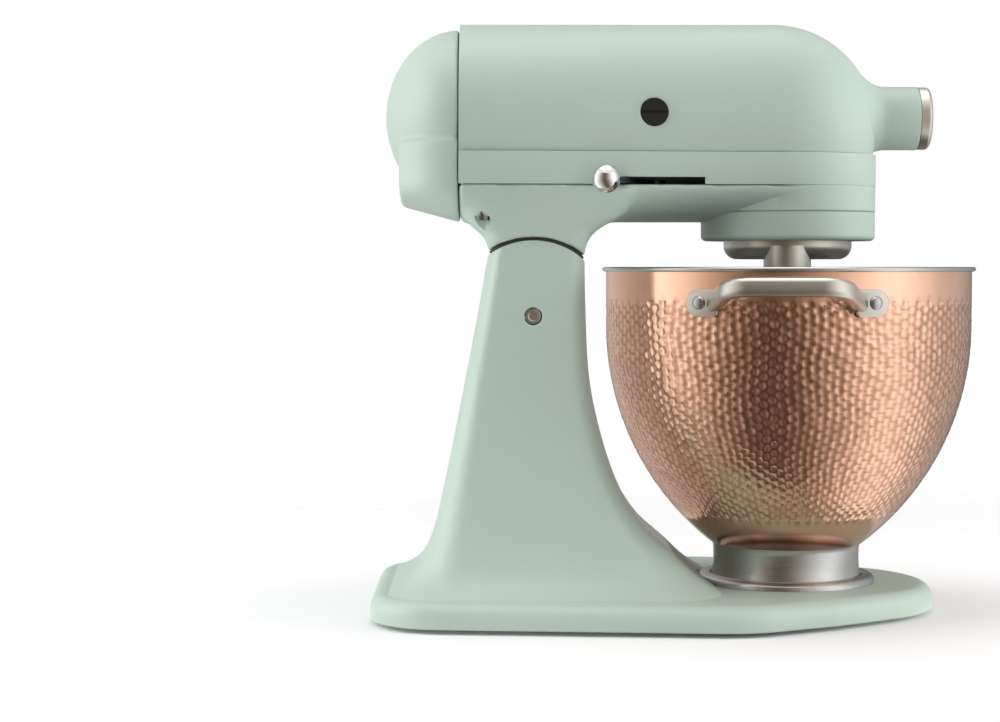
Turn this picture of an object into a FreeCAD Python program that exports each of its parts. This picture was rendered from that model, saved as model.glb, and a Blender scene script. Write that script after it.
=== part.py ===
"""Tilt-head stand mixer, in millimetres.

The mixing axis is the Z axis, the counter is the plane Z = 0, the head points along +X
and the bowl's handle and the speed lever face -Y.
"""
import FreeCAD, Part
import math
import os
import re
import Sketcher

Vec = FreeCAD.Vector

# Driving sizes: name, value, what it measures.
SIZES = (
    ("foot_height", 2.5, "rubber foot below the base"),
    ("foot_radius", 9.0, "rubber foot"),
    ("foot_rim", 2.0, "boss wider than its foot"),
    ("front_foot_x", -45.0, "pair of feet beside the bowl"),
    ("front_foot_y", 88.0, "pair of feet beside the bowl"),
    ("rear_foot_x", -214.0, "pair of feet behind the column"),
    ("rear_foot_y", 66.0, "pair of feet behind the column"),
    ("base_top", 17.5, "top of the base"),
    ("base_wall", 4.0, "wall of the base"),
    ("base_edge", 8.5, "rounded top edge of the base"),
    ("nose_arc_x", 16.0, "centre of the base's front arc"),
    ("nose_arc_radius", 72.0, "base's front arc"),
    ("shoulder_x", -45.0, "centre of the base's side arc"),
    ("shoulder_y", 52.0, "centre of the base's side arc"),
    ("shoulder_radius", 60.0, "base's side arc"),
    ("corner_x", -206.0, "centre of the base's rear corner"),
    ("corner_y", 55.0, "centre of the base's rear corner"),
    ("corner_radius", 44.0, "base's rear corner"),
    ("column_wall", 6.0, "wall of the column"),
    ("hinge_x", -154.6, "tilt hinge behind the mixing axis"),
    ("hinge_z", 179.0, "tilt hinge above the counter"),
    ("hinge_pin_radius", 4.75, "tilt hinge pin"),
    ("hinge_fit", 0.05, "running clearance of pins and shafts"),
    ("knuckle_radius", 44.0, "rounded top of the column about the hinge"),
    ("knuckle_gap", 2.0, "gap between column and neck"),
    ("tongue_half", 20.0, "half width of the neck's hinge tongue"),
    ("tongue_gap", 0.6, "side clearance of the tongue"),
    ("tongue_boss", 13.0, "hinge boss of the tongue"),
    ("tongue_front_angle", 60.0, "front face of the tongue, from +X"),
    ("tongue_rear_angle", 80.0, "rear face of the tongue, from +X"),
    ("tilt_travel", 40.0, "head tilt in degrees"),
    ("stop_angle", 2.0, "slot longer than the tongue's travel at each end"),
    ("plate_rim", 4.5, "width of the clamp plate's rim"),
    ("plate_gap", 1.0, "least gap between the clamp plate and the column"),
    ("plate_floor", 1.5, "floor of the clamp plate"),
    ("plate_height", 5.0, "rim of the clamp plate above the base"),
    ("lug_clearance", 0.5, "clearance round the bowl's lugs"),
    ("plate_lip", 1.5, "thickness of the lips over the bowl's lugs"),
    ("plate_screw_ring", 30.0, "ring of clamp plate screws"),
    ("bowl_foot_radius", 45.3, "bowl foot at the bottom"),
    ("bowl_foot_top_radius", 44.6, "bowl foot where it meets the bowl"),
    ("bowl_foot_wall", 1.6, "wall of the bowl foot"),
    ("bowl_lug_reach", 3.2, "lugs of the bowl foot"),
    ("bowl_lug_height", 1.5, "lugs of the bowl foot"),
    ("bowl_clearance", 0.4, "running clearance of the bowl in the clamp plate"),
    ("bowl_radius", 109.5, "bowl outside"),
    ("bowl_arc_radius", 166.0, "side curve of the bowl"),
    ("floor_lap", 0.2102, "bowl's floor past the top of its foot"),
    ("bowl_rim_z", 207.6, "top of the bowl"),
    ("bowl_wall", 1.2, "wall of the bowl"),
    ("bowl_rim_bead", 2.4, "rolled rim"),
    ("bowl_floor_z", 40.5, "underside of the bowl's floor"),
    ("bowl_turn", -7.5, "rest angle of the handle from -Y, in degrees"),
    ("handle_spread", 24.5, "angle of each lug from the handle's middle"),
    ("handle_lug_z", 187.5, "lugs of the handle"),
    ("handle_lug_radius", 8.5, "lugs of the handle"),
    ("handle_lug_thick", 2.6, "lugs of the handle"),
    ("handle_reach", 33.0, "bar of the handle outside the bowl"),
    ("handle_bar_half", 31.0, "half length of the bar, to the middle of its arms"),
    ("handle_bar_z", 196.5, "bar of the handle"),
    ("handle_bar_height", 10.5, "bar of the handle"),
    ("handle_bar_depth", 8.0, "bar of the handle"),
    ("handle_bend", 15.0, "bend between bar and arm"),
    ("lug_gap", 0.05, "lugs off the bowl's wall"),
    ("arm_inset", 3.0, "angle from a lug's middle to its arm"),
    ("rivet_radius", 4.0, "rivet heads of the handle"),
    ("rivet_height", 1.8, "rivet heads of the handle"),
    ("rivet_shank", 2.0, "rivets of the handle"),
    ("rivet_tail", 1.0, "rivets past the inside of the bowl's wall"),
    ("rivet_spread", 26.0, "angle of each rivet from the handle's middle"),
    ("head_axis_z", 290.0, "middle of the head's oval section"),
    ("head_rise", 63.0, "head's top above its middle"),
    ("head_front_half", 54.0, "half width of the head at the front"),
    ("head_rear_half", 68.0, "half width of the head at the rear seam"),
    ("head_nose_x", -10.0, "where the rounded nose starts"),
    ("head_nose_reach", 62.5, "length of the rounded nose"),
    ("head_seam_x", -198.0, "seam of the rear cover"),
    ("head_wall", 4.0, "wall of the castings"),
    ("band_top", 274.5, "top of the trim band"),
    ("band_bottom", 255.5, "bottom of the trim band"),
    ("band_thick", 2.2, "trim band"),
    ("trough_end_x", 6.0, "where the trough runs out on the collar"),
    ("trough_room_top", 46.0, "half width of the trough's room near the band"),
    ("trough_room_floor", 34.0, "half width of the trough's room at its floor"),
    ("case_depth", 21.0, "gear case below the band"),
    ("cover_reach", 44.5, "dome of the rear cover"),
    ("cover_middle_z", 297.0, "furthest back part of the dome"),
    ("cover_wall", 3.0, "wall of the rear cover"),
    ("cover_rise", 52.5, "top of the dome above its middle"),
    ("cover_step", 1.5, "rear cover narrower than the head at the seam"),
    ("skirt_half", 45.0, "half width of the skirt at its end"),
    ("skirt_top", 281.0, "where the skirt runs into the dome"),
    ("cover_room", 47.0, "room inside the rear cover at the seam"),
    ("cover_room_end", 34.0, "room inside the rear cover at its floor"),
    ("cover_floor", 9.0, "rear cover's thickness at the back"),
    ("skirt_reach", 35.0, "skirt of the rear cover"),
    ("skirt_rise", 9.5, "slope of the skirt's underside"),
    ("collar_radius", 52.4, "collar of the gear case"),
    ("collar_split", 240.0, "joint of collar and drip ring"),
    ("ring_bottom", 223.2, "bottom of the drip ring"),
    ("ring_lip", 2.8, "lip of the drip ring under the ring gear"),
    ("ring_round", 3.0, "rounded lower edge of the drip ring"),
    ("ring_gear_radius", 46.0, "outside of the ring gear"),
    ("planet_gap", 1.6, "gap round the planetary disc"),
    ("pinion_room", 15.5, "room for the drive pinion"),
    ("case_floor", 4.0, "floor of the gear chamber"),
    ("worm_room_length", 20.0, "passage of the worm from the trough to the gear chamber"),
    ("worm_room_half", 38.0, "half width of that passage"),
    ("worm_room_floor", 4.0, "floor of that passage above the chamber's floor"),
    ("chamber_radius", 46.8, "gear chamber"),
    ("hub_z", 297.0, "motor shaft and power hub"),
    ("hub_radius", 19.0, "power hub"),
    ("hub_end_x", 77.5, "front face of the power hub"),
    ("hub_root_x", 34.0, "inner end of the power hub"),
    ("hub_web_x", 50.0, "floor of the hub's socket"),
    ("socket_radius", 16.0, "hub's socket"),
    ("hub_flare_x", 53.0, "where that rounding ends on the hub"),
    ("hub_flare", 5.0, "rounding where hub and nose meet"),
    ("cap_thick", 7.0, "hub cap in front of the hub"),
    ("cap_radius", 18.7, "hub cap"),
    ("cap_round", 2.5, "rounded edge of the hub cap"),
    ("cap_plug", 6.0, "plug of the cap in the socket"),
    ("cap_fit", 0.35, "clearance of the plug in the socket"),
    ("knob_x", 64.0, "thumb screw of the hub"),
    ("knob_radius", 9.0, "thumb screw of the hub"),
    ("knob_shank", 3.0, "thumb screw of the hub"),
    ("knob_length", 14.0, "thumb screw of the hub"),
    ("planet_radius", 38.4, "planetary disc"),
    ("planet_bottom", 212.2, "planetary disc"),
    ("planet_top", 224.6, "planetary disc"),
    ("planet_edge", 8.0, "rounded lower edge of the disc"),
    ("planet_floor", 4.0, "disc below the centre shaft"),
    ("planet_turn", -7.5, "rest angle of the beater shaft from -Y, in degrees"),
    ("boss_radius", 14.0, "beater boss"),
    ("boss_bottom", 199.0, "beater boss"),
    ("beater_offset", 27.0, "beater shaft from the mixing axis"),
    ("beater_radius", 6.35, "beater shaft"),
    ("beater_end", 165.0, "lower end of the beater shaft"),
    ("beater_pin_z", 184.0, "cross pin of the beater shaft"),
    ("beater_pin_half", 11.0, "cross pin of the beater shaft"),
    ("groove_half", 2.4, "half width of the groove at the cross pin"),
    ("groove_depth", 0.5, "groove at the cross pin"),
    ("cross_pin_radius", 2.0, "cross pins"),
    ("ring_teeth", 42, "fixed ring gear"),
    ("planet_teeth", 12, "planet pinion"),
    ("gear_width", 9.0, "face width of the spur gears"),
    ("centre_shaft_radius", 7.5, "centre shaft"),
    ("centre_teeth", 34, "centre gear"),
    ("drive_teeth", 12, "drive pinion"),
    ("drive_module", 2.0, "module of the centre gear"),
    ("wheel_y", 27.0, "worm wheel shaft from the middle plane"),
    ("wheel_shaft_radius", 5.0, "worm wheel shaft"),
    ("wheel_teeth", 18, "worm wheel"),
    ("worm_radius", 6.75, "worm's pitch circle"),
    ("wheel_width", 8.0, "worm wheel"),
    ("gear_backlash", 0.22, "share of each tooth taken off for backlash"),
    ("centre_gear_z", 250.0, "underside of the centre gear"),
    ("bracket_z", 263.0, "underside of the gear bracket"),
    ("bracket_thick", 4.0, "gear bracket"),
    ("post_radius", 3.0, "posts of the gear bracket"),
    ("post_ring", 39.5, "posts of the gear bracket"),
    ("bush_wall", 2.0, "plain bushes"),
    ("bevel_teeth", 16, "bevel gears of the hub drive"),
    ("bevel_radius", 14.0, "bevel gears of the hub drive"),
    ("bevel_face", 0.62, "small end of the bevel gears over their large end"),
    ("hub_shaft_radius", 8.0, "hub drive shaft"),
    ("square_half", 4.8, "square socket of the hub drive"),
    ("motor_shaft_radius", 4.0, "motor shaft"),
    ("front_bearing_x", -21.0, "middle of the front bearing"),
    ("rear_bearing_x", -193.5, "middle of the rear bearing"),
    ("bearing_radius", 7.0, "motor bearings"),
    ("bearing_width", 7.0, "motor bearings"),
    ("bracket_rim", 4.0, "rear bearing bracket above and below its bearing"),
    ("stator_radius", 42.0, "motor stator"),
    ("stator_bore", 24.6, "motor stator"),
    ("stator_front_x", -128.0, "motor stator"),
    ("stator_length", 44.0, "motor stator"),
    ("armature_gap", 0.7, "air gap of the motor"),
    ("coil_length", 7.0, "field coil ends"),
    ("commutator_radius", 12.2, "commutator"),
    ("commutator_length", 20.0, "commutator"),
    ("brush_x", -84.7, "motor brushes"),
    ("brush_cap_radius", 8.0, "brush caps"),
    ("brush_gap", 0.3, "brush off the commutator"),
    ("plate_stand", 9.0, "control plate behind the rear bearing"),
    ("fan_x", -188.5, "cooling fan"),
    ("fan_radius", 37.0, "cooling fan"),
    ("fan_width", 8.0, "cooling fan"),
    ("fan_sheet", 2.0, "disc and blades of the fan"),
    ("fan_hub_wall", 4.0, "hub of the fan round the motor shaft"),
    ("fan_edge", 1.0, "blades inside the fan's disc and outside the shaft"),
    ("lever_z", 257.6, "speed and lock levers"),
    ("lever_thick", 3.0, "speed and lock levers"),
    ("lever_wide", 6.0, "speed and lock levers"),
    ("lever_slot", 4.2, "height of the lever slots"),
    ("lever_ball", 8.2, "ball knobs"),
    ("slot_room", 1.6, "room at each end of a lever slot"),
    ("pivot_post", 5.0, "speed lever's post"),
    ("pivot_pin", 2.5, "speed lever's pivot pin"),
    ("lock_shaft", 4.0, "lock lever's shaft"),
    ("wall_of_post", 3.0, "wall round the lock lever's shaft"),
    ("speed_pivot_x", -82.0, "speed lever's pivot"),
    ("speed_pivot_y", -15.0, "speed lever's pivot"),
    ("speed_ball_y", -85.0, "speed lever's ball"),
    ("speed_swing", 49.0, "speed lever's travel in degrees"),
    ("lock_pivot_x", -160.0, "lock lever's pivot"),
    ("lock_pivot_y", 30.0, "lock lever's pivot"),
    ("lock_ball_y", 86.0, "lock lever's ball"),
    ("lock_swing", 24.0, "lock lever's travel in degrees"),
    ("screw_radius", 2.2, "machine screws"),
    ("screw_head", 4.0, "machine screw heads"),
    ("screw_head_height", 2.4, "machine screw heads"),
    ("screw_fit", 0.2, "clearance of screws in their holes"),
    ("neck_screw_x", -184.0, "screws at the neck's rear corners"),
    ("neck_screw_y", 57.0, "screws at the neck's rear corners"),
    ("neck_screw_z", 237.0, "screws at the neck's rear corners"),
    ("inlet_radius", 7.0, "cord inlet"),
    ("inlet_bore", 3.6, "cord inlet"),
    ("inlet_z", 257.0, "cord inlet"),
)

# Sections of the column, from the base up: height, rear, front, half width, corner.
COLUMN_SECTIONS = (
    ("column_foot", 17.5, -230.0, -55.5, 82.0, 30.0),
    ("column_toe", 27.0, -223.0, -58.5, 76.0, 28.0),
    ("column_flare", 38.0, -217.5, -69.0, 71.5, 25.0),
    ("column_ankle", 54.0, -212.5, -88.5, 67.5, 22.0),
    ("column_shin", 77.0, -207.3, -103.0, 64.0, 19.0),
    ("column_knee", 105.0, -201.5, -113.3, 61.5, 17.0),
    ("column_waist", 140.0, -194.6, -121.0, 59.0, 16.0),
    ("column_chest", 180.0, -187.0, -123.5, 57.0, 15.0),
    ("column_head", 226.0, -179.0, -124.3, 55.0, 14.0),
)

# Sections of the neck, from the arc up: height, rear, front, half width, corner.
NECK_SECTIONS = (
    ("neck_arc", 203.0, -180.6, -124.6, 55.0, 13.0),
    ("neck_throat", 218.0, -181.0, -123.9, 55.8, 13.0),
    ("neck_bend", 226.0, -184.0, -120.2, 57.2, 13.5),
    ("neck_spread", 231.5, -190.0, -113.4, 58.8, 14.0),
    ("neck_shoulder", 236.5, -195.0, -103.5, 60.5, 14.5),
    ("neck_root", 252.0, -195.6, -88.0, 63.8, 15.0),
)
SECTION_PARTS = ("z", "rear", "front", "half", "corner")


def section_sizes(sections):
    """Named sizes of a run of rounded sections."""
    found = []
    for row in sections:
        for part, number in zip(SECTION_PARTS, row[1:]):
            found.append((f"{row[0]}_{part}", number, f"{part} of the {row[0].replace('_', ' ')} section"))
    return tuple(found)


doc = FreeCAD.newDocument("StandMixer")
sheet = doc.addObject("Spreadsheet::Sheet", "Sizes")
ALIASES = set()
for line, (alias, number, meaning) in enumerate(
        SIZES + section_sizes(COLUMN_SECTIONS) + section_sizes(NECK_SECTIONS), 1):
    sheet.set(f"A{line}", alias)
    sheet.set(f"B{line}", str(number))
    sheet.set(f"C{line}", meaning)
    sheet.setAlias(f"B{line}", alias)
    ALIASES.add(alias)
doc.recompute()

ALONG = {
    "x": FreeCAD.Rotation(Vec(0, 1, 0), 90),
    "y": FreeCAD.Rotation(Vec(1, 0, 0), -90),
    "z": FreeCAD.Rotation(),
}
NODES = []


# Expressions and numbers from the sheet

def bound(text):
    """The text as an expression on the sheet's cells."""
    return re.sub(r"[a-z][a-z_]*", lambda word: f"Sizes.{word[0]}" if word[0] in ALIASES else word[0], str(text))


def val(text):
    """The number that an expression has now."""
    return float(sheet.evalExpression(bound(text)))


def bind(obj, **sizes):
    """Tie an object's properties to expressions."""
    for prop, text in sizes.items():
        obj.setExpression(prop, bound(text))


def put(obj, x="0", y="0", z="0", turn=None):
    """Turn an object, then tie its place to expressions."""
    obj.Placement = FreeCAD.Placement(Vec(0, 0, 0), turn or FreeCAD.Rotation())
    for letter, text in zip("xyz", (x, y, z)):
        obj.setExpression(f".Placement.Base.{letter}", bound(text))
    return obj


def node(obj, label):
    """Name a finished sub-part."""
    obj.Label = label
    NODES.append(obj)
    return obj


# Solids tied to the sheet

def block(name, across_x, across_y, across_z):
    """A box between pairs of expressions."""
    obj = doc.addObject("Part::Box", name)
    for prop, (low, high) in zip(("Length", "Width", "Height"), (across_x, across_y, across_z)):
        bind(obj, **{prop: f"({high}) - ({low})"})
    return put(obj, across_x[0], across_y[0], across_z[0])


def spot(axis, at, start):
    """The place of a piece that starts at a height along its own axis."""
    return {"x": (start, at[0], at[1]), "y": (at[0], start, at[1]), "z": (at[0], at[1], start)}[axis]


def rod(name, radius, span, axis="z", at=("0", "0")):
    """A cylinder along an axis, from one expression to another."""
    obj = doc.addObject("Part::Cylinder", name)
    bind(obj, Radius=radius, Height=f"({span[1]}) - ({span[0]})")
    return put(obj, *spot(axis, at, span[0]), turn=ALONG[axis])


def taper(name, radii, span, axis="z", at=("0", "0")):
    """A cone along an axis."""
    obj = doc.addObject("Part::Cone", name)
    bind(obj, Radius1=radii[0], Radius2=radii[1], Height=f"({span[1]}) - ({span[0]})")
    return put(obj, *spot(axis, at, span[0]), turn=ALONG[axis])


def ball(name, radius, x, y, z):
    """A sphere."""
    obj = doc.addObject("Part::Sphere", name)
    bind(obj, Radius=radius)
    return put(obj, x, y, z)


def fuse(name, pieces):
    """One solid from pieces that overlap."""
    obj = doc.addObject("Part::MultiFuse", name)
    obj.Shapes = list(pieces)
    return obj


def cut(name, base, tools):
    """A solid less its tools."""
    tool = tools[0] if len(tools) == 1 else fuse(f"{name}_tools", tools)
    obj = doc.addObject("Part::Cut", name)
    obj.Base = base
    obj.Tool = tool
    return obj


def group(name, pieces):
    """Separate solids in one sub-part."""
    obj = doc.addObject("Part::Compound", name)
    obj.Links = list(pieces)
    return obj


def feature(name, shape):
    """A solid made from numbers of the sheet."""
    obj = doc.addObject("Part::Feature", name)
    obj.Shape = shape
    return obj


def profile(owner, name, points):
    """A closed sketch through points; a third entry makes the side that leaves a point an arc.

    The arc's radius is positive where its centre lies left of the way along the outline.
    """
    sketch = owner.newObject("Sketcher::SketchObject", name) if owner else doc.addObject(
        "Sketcher::SketchObject", name)
    spots = [Vec(val(p[0]), val(p[1]), 0) for p in points]
    sides = []
    for i, point in enumerate(points):
        start, end = spots[i], spots[(i + 1) % len(spots)]
        if len(point) == 2:
            sides.append(Part.LineSegment(start, end))
            continue
        radius = val(point[2])
        chord = end - start
        left = Vec(-chord.y, chord.x, 0).normalize()
        reach = math.sqrt(max(radius ** 2 - (chord.Length / 2) ** 2, 0))
        centre = (start + end) * 0.5 + left * math.copysign(reach, radius)
        first, last = (start, end) if radius > 0 else (end, start)
        angles = [math.atan2(p.y - centre.y, p.x - centre.x) for p in (first, last)]
        if angles[1] < angles[0]:
            angles[1] += 2 * math.pi
        sides.append(Part.ArcOfCircle(Part.Circle(centre, Vec(0, 0, 1), abs(radius)), *angles))
    sketch.addGeometry(sides, False)
    starts = []
    for i in range(len(points)):
        starts.append(1 if sides[i].StartPoint.distanceToPoint(spots[i]) < 1e-6 else 2)
    for i in range(len(points)):
        after = (i + 1) % len(points)
        sketch.addConstraint(Sketcher.Constraint("Coincident", i, 3 - starts[i], after, starts[after]))
    for i, point in enumerate(points):
        for kind, text, number in (("DistanceX", point[0], spots[i].x), ("DistanceY", point[1], spots[i].y)):
            which = sketch.addConstraint(Sketcher.Constraint(kind, -1, 1, i, starts[i], number))
            sketch.setExpression(f"Constraints[{which}]", bound(text))
        if len(point) > 2:
            which = sketch.addConstraint(Sketcher.Constraint("Radius", i, abs(val(point[2]))))
            sketch.setExpression(f"Constraints[{which}]", bound(point[2].lstrip("-")))
    return sketch


def turned(name, points, axis="z", at=("0", "0"), start="0"):
    """A solid of revolution from points of radius and height along its axis."""
    sketch = profile(None, f"{name}_outline", points)
    sketch.Placement = FreeCAD.Placement(Vec(0, 0, 0), FreeCAD.Rotation(Vec(1, 0, 0), 90))
    obj = doc.addObject("Part::Revolution", name)
    obj.Source = sketch
    obj.Axis = Vec(0, 0, 1)
    obj.Angle = 360
    obj.Solid = True
    return put(obj, *spot(axis, at, start), turn=ALONG[axis])


def origin_plane(body, role):
    """One of a body's own planes."""
    return [item for item in body.Origin.OriginFeatures if item.Role == role][0]


def belt(body, name, circles, height):
    """A sketch at a height, tight round circles given in order against the clock."""
    sketch = body.newObject("Sketcher::SketchObject", name)
    sketch.AttachmentSupport = [(origin_plane(body, "XY_Plane"), "")]
    sketch.MapMode = "FlatFace"
    sketch.setExpression(".AttachmentOffset.Base.z", bound(height))
    rounds = [(Vec(val(x), val(y), 0), val(r)) for x, y, r in circles]
    normals = []
    for i, (centre, radius) in enumerate(rounds):
        other, other_radius = rounds[(i + 1) % len(rounds)]
        way = other - centre
        lean = math.acos((radius - other_radius) / way.Length)
        normals.append(math.atan2(way.y, way.x) - lean)
    sides = []
    for i, (centre, radius) in enumerate(rounds):
        first, last = normals[i - 1], normals[i]
        while last < first:
            last += 2 * math.pi
        sides.append(Part.ArcOfCircle(Part.Circle(centre, Vec(0, 0, 1), radius), first, last))
    for i, (centre, radius) in enumerate(rounds):
        other, other_radius = rounds[(i + 1) % len(rounds)]
        out = Vec(math.cos(normals[i]), math.sin(normals[i]), 0)
        sides.append(Part.LineSegment(centre + out * radius, other + out * other_radius))
    sketch.addGeometry(sides, False)
    count = len(circles)
    for i, (x, y, r) in enumerate(circles):
        sketch.addConstraint(Sketcher.Constraint("Tangent", i, 2, count + i, 1))
        sketch.addConstraint(Sketcher.Constraint("Tangent", count + i, 2, (i + 1) % count, 1))
        for kind, text in (("DistanceX", x), ("DistanceY", y)):
            which = sketch.addConstraint(Sketcher.Constraint(kind, -1, 1, i, 3, val(text)))
            sketch.setExpression(f"Constraints[{which}]", bound(text))
        which = sketch.addConstraint(Sketcher.Constraint("Radius", i, val(r)))
        sketch.setExpression(f"Constraints[{which}]", bound(r))
    return sketch


def rounded_section(body, name, size, inset="0", height=None):
    """A rounded rectangle of named section sizes, drawn in by a wall."""
    corner = f"{size}_corner - ({inset})"
    rear, front = f"{size}_rear + {size}_corner", f"{size}_front - {size}_corner"
    side = f"{size}_half - {size}_corner"
    circles = ((front, f"-({side})", corner), (front, side, corner), (rear, side, corner), (rear, f"-({side})", corner))
    return belt(body, name, circles, height or f"{size}_z")


def loft(body, name, sketches, kind="PartDesign::AdditiveLoft"):
    """A loft through a body's sketches."""
    obj = body.newObject(kind, name)
    obj.Profile = sketches[0]
    obj.Sections = list(sketches[1:])
    return obj


# Stand

def base_outline(body, name, inset, height):
    """The base's outline in plan, drawn in by an inset."""
    circles = (
        ("nose_arc_x", "0", f"nose_arc_radius - ({inset})"),
        ("shoulder_x", "shoulder_y", f"shoulder_radius - ({inset})"),
        ("corner_x", "corner_y", f"corner_radius - ({inset})"),
        ("corner_x", "-corner_y", f"corner_radius - ({inset})"),
        ("shoulder_x", "-shoulder_y", f"shoulder_radius - ({inset})"),
    )
    return belt(body, name, circles, height)


FOOT_SPOTS = (
    ("0", "0"),
    ("front_foot_x", "front_foot_y"),
    ("front_foot_x", "-front_foot_y"),
    ("rear_foot_x", "rear_foot_y"),
    ("rear_foot_x", "-rear_foot_y"),
)
BASE_CEILING = "base_top - base_wall"


def ring_spots(count, radius, first=0):
    """Expressions of points on a ring about the mixing axis."""
    found = []
    for i in range(count):
        angle = first + 360 * i / count
        found.append((f"({radius}) * cos({angle})", f"({radius}) * sin({angle})"))
    return found


def make_base():
    """The base: a shallow tray, open below, with a boss over each foot."""
    body = doc.addObject("PartDesign::Body", "base_body")
    pad = body.newObject("PartDesign::Pad", "base_pad")
    pad.Profile = base_outline(body, "base_plan", "0", "foot_height")
    bind(pad, Length="base_top - foot_height")
    doc.recompute()
    top = val("base_top")
    rim = []
    for i, edge in enumerate(pad.Shape.Edges, 1):
        if abs(edge.BoundBox.ZMin - top) < 1e-6 and abs(edge.BoundBox.ZMax - top) < 1e-6:
            rim.append(f"Edge{i}")
    edge = body.newObject("PartDesign::Fillet", "base_round")
    edge.Base = (pad, rim)
    bind(edge, Radius="base_edge")
    hollow = body.newObject("PartDesign::Pocket", "base_hollow")
    hollow.Profile = base_outline(body, "base_hollow_plan", "base_wall + base_edge / 2", "foot_height")
    hollow.Reversed = True
    bind(hollow, Length=f"{BASE_CEILING} - foot_height")
    bosses = []
    for i, (x, y) in enumerate(FOOT_SPOTS):
        bosses.append(rod(f"foot_boss_{i}", "foot_radius + foot_rim", ("foot_height", BASE_CEILING), at=(x, y)))
    holes = []
    for i, (x, y) in enumerate(ring_spots(3, "plate_screw_ring", 60)):
        holes.append(rod(f"plate_hole_{i}", "screw_radius + screw_fit", ("foot_height", "base_top + 1"), at=(x, y)))
    return node(cut("base", fuse("base_solid", [body] + bosses), holes), "base_casting")


def make_feet():
    """Five rubber feet; the one on the mixing axis rests under the bowl."""
    feet = []
    for i, (x, y) in enumerate(FOOT_SPOTS):
        feet.append(rod(f"foot_{i}", "foot_radius", ("0", "foot_height"), at=(x, y)))
    return node(group("feet", feet), "rubber_feet")


def sector(name, inner, outer, angles, half, axis_x, axis_z):
    """A curved slab about a line along Y, between two angles from +X."""
    low, high = (math.radians(val(a)) for a in angles)
    small, large, width = val(inner), val(outer), val(half)
    middle = (low + high) / 2

    def point(radius, angle):
        return Vec(val(axis_x) + radius * math.cos(angle), -width, val(axis_z) + radius * math.sin(angle))

    sides = [
        Part.LineSegment(point(small, low), point(large, low)).toShape(),
        Part.Arc(point(large, low), point(large, middle), point(large, high)).toShape(),
        Part.LineSegment(point(large, high), point(small, high)).toShape(),
        Part.Arc(point(small, high), point(small, middle), point(small, low)).toShape(),
    ]
    return feature(name, Part.Face(Part.Wire(sides)).extrude(Vec(0, 2 * width, 0)))


def make_column():
    """The hollow column: flared foot, rounded knuckle and the slot for the neck's tongue."""
    body = doc.addObject("PartDesign::Body", "column_body")
    names = [row[0] for row in COLUMN_SECTIONS]
    first = rounded_section(body, f"{names[0]}_outline", names[0], height="base_top")
    outside = [first] + [rounded_section(body, f"{n}_outline", n) for n in names[1:]]
    loft(body, "column_outside", outside)
    doc.recompute()
    cavity = doc.addObject("PartDesign::Body", "column_cavity")
    inner_names = [names[0]] + names[2:8]
    inside = [rounded_section(cavity, f"{names[0]}_core", names[0], "column_wall", "base_top - 1")]
    inside += [rounded_section(cavity, f"{n}_core", n, "column_wall") for n in inner_names[1:]]
    loft(cavity, "column_core", inside)
    far = "2 * column_foot_half"
    above = block("above_hinge", ("column_foot_rear", "column_foot_front"), (f"-{far}", far),
                  ("hinge_z", "column_head_z + 10"))
    knuckle = rod("knuckle", "knuckle_radius", (f"-{far} - 1", f"{far} + 1"), "y", ("hinge_x", "hinge_z"))
    trim = cut("knuckle_trim", above, [knuckle])
    slot = sector("tongue_slot", "hinge_pin_radius", "knuckle_radius + 20",
                  ("tongue_front_angle - stop_angle", "tongue_rear_angle + tilt_travel + stop_angle"),
                  "tongue_half + tongue_gap", "hinge_x", "hinge_z")
    boss = rod("tongue_boss_room", "tongue_boss + tongue_gap",
               ("-tongue_half - tongue_gap", "tongue_half + tongue_gap"), "y", ("hinge_x", "hinge_z"))
    pin_hole = rod("column_pin_hole", "hinge_pin_radius", (f"-{far}", far), "y", ("hinge_x", "hinge_z"))
    plate = rod("plate_room", f"{PLATE_RADIUS} + plate_gap", ("base_top - 1", "base_top + plate_height + plate_gap"))
    return node(cut("column_solid", body, [cavity, trim, slot, boss, pin_hole, plate]), "column")


def arc_ring(name, radii, span, first, sweep):
    """Part of a ring about the mixing axis."""
    outer = rod(f"{name}_outer", radii[1], span)
    bind(outer, Angle=sweep)
    outer.Placement = FreeCAD.Placement(outer.Placement.Base, FreeCAD.Rotation(Vec(0, 0, 1), first))
    inner = rod(f"{name}_inner", radii[0], (f"{span[0]} - 1", f"{span[1]} + 1"))
    return cut(name, outer, [inner])


def screw(name, head_from, tip, axis="z", at=("0", "0")):
    """A machine screw whose head rests at a height and whose tip lies below or above it."""
    down = val(tip) < val(head_from)
    top = f"({head_from}) + screw_head_height" if down else f"({head_from}) - screw_head_height"
    head = rod(f"{name}_head", "screw_head", (head_from, top) if down else (top, head_from), axis, at)
    shank = rod(f"{name}_shank", "screw_radius", (tip, head_from) if down else (head_from, tip), axis, at)
    return fuse(name, [head, shank])


PLATE_FLOOR = "base_top + plate_floor"
PLATE_INNER = "bowl_foot_radius + bowl_lug_reach + lug_clearance"
PLATE_RADIUS = f"{PLATE_INNER} + plate_rim"
PLATE_SCREWS = ring_spots(3, "plate_screw_ring", 60)
LIP_SWEEP = 50
LUG_SWEEP = 36
LIP_STARTS = (5, 125, 245)
LUG_STARTS = (12, 132, 252)


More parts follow.
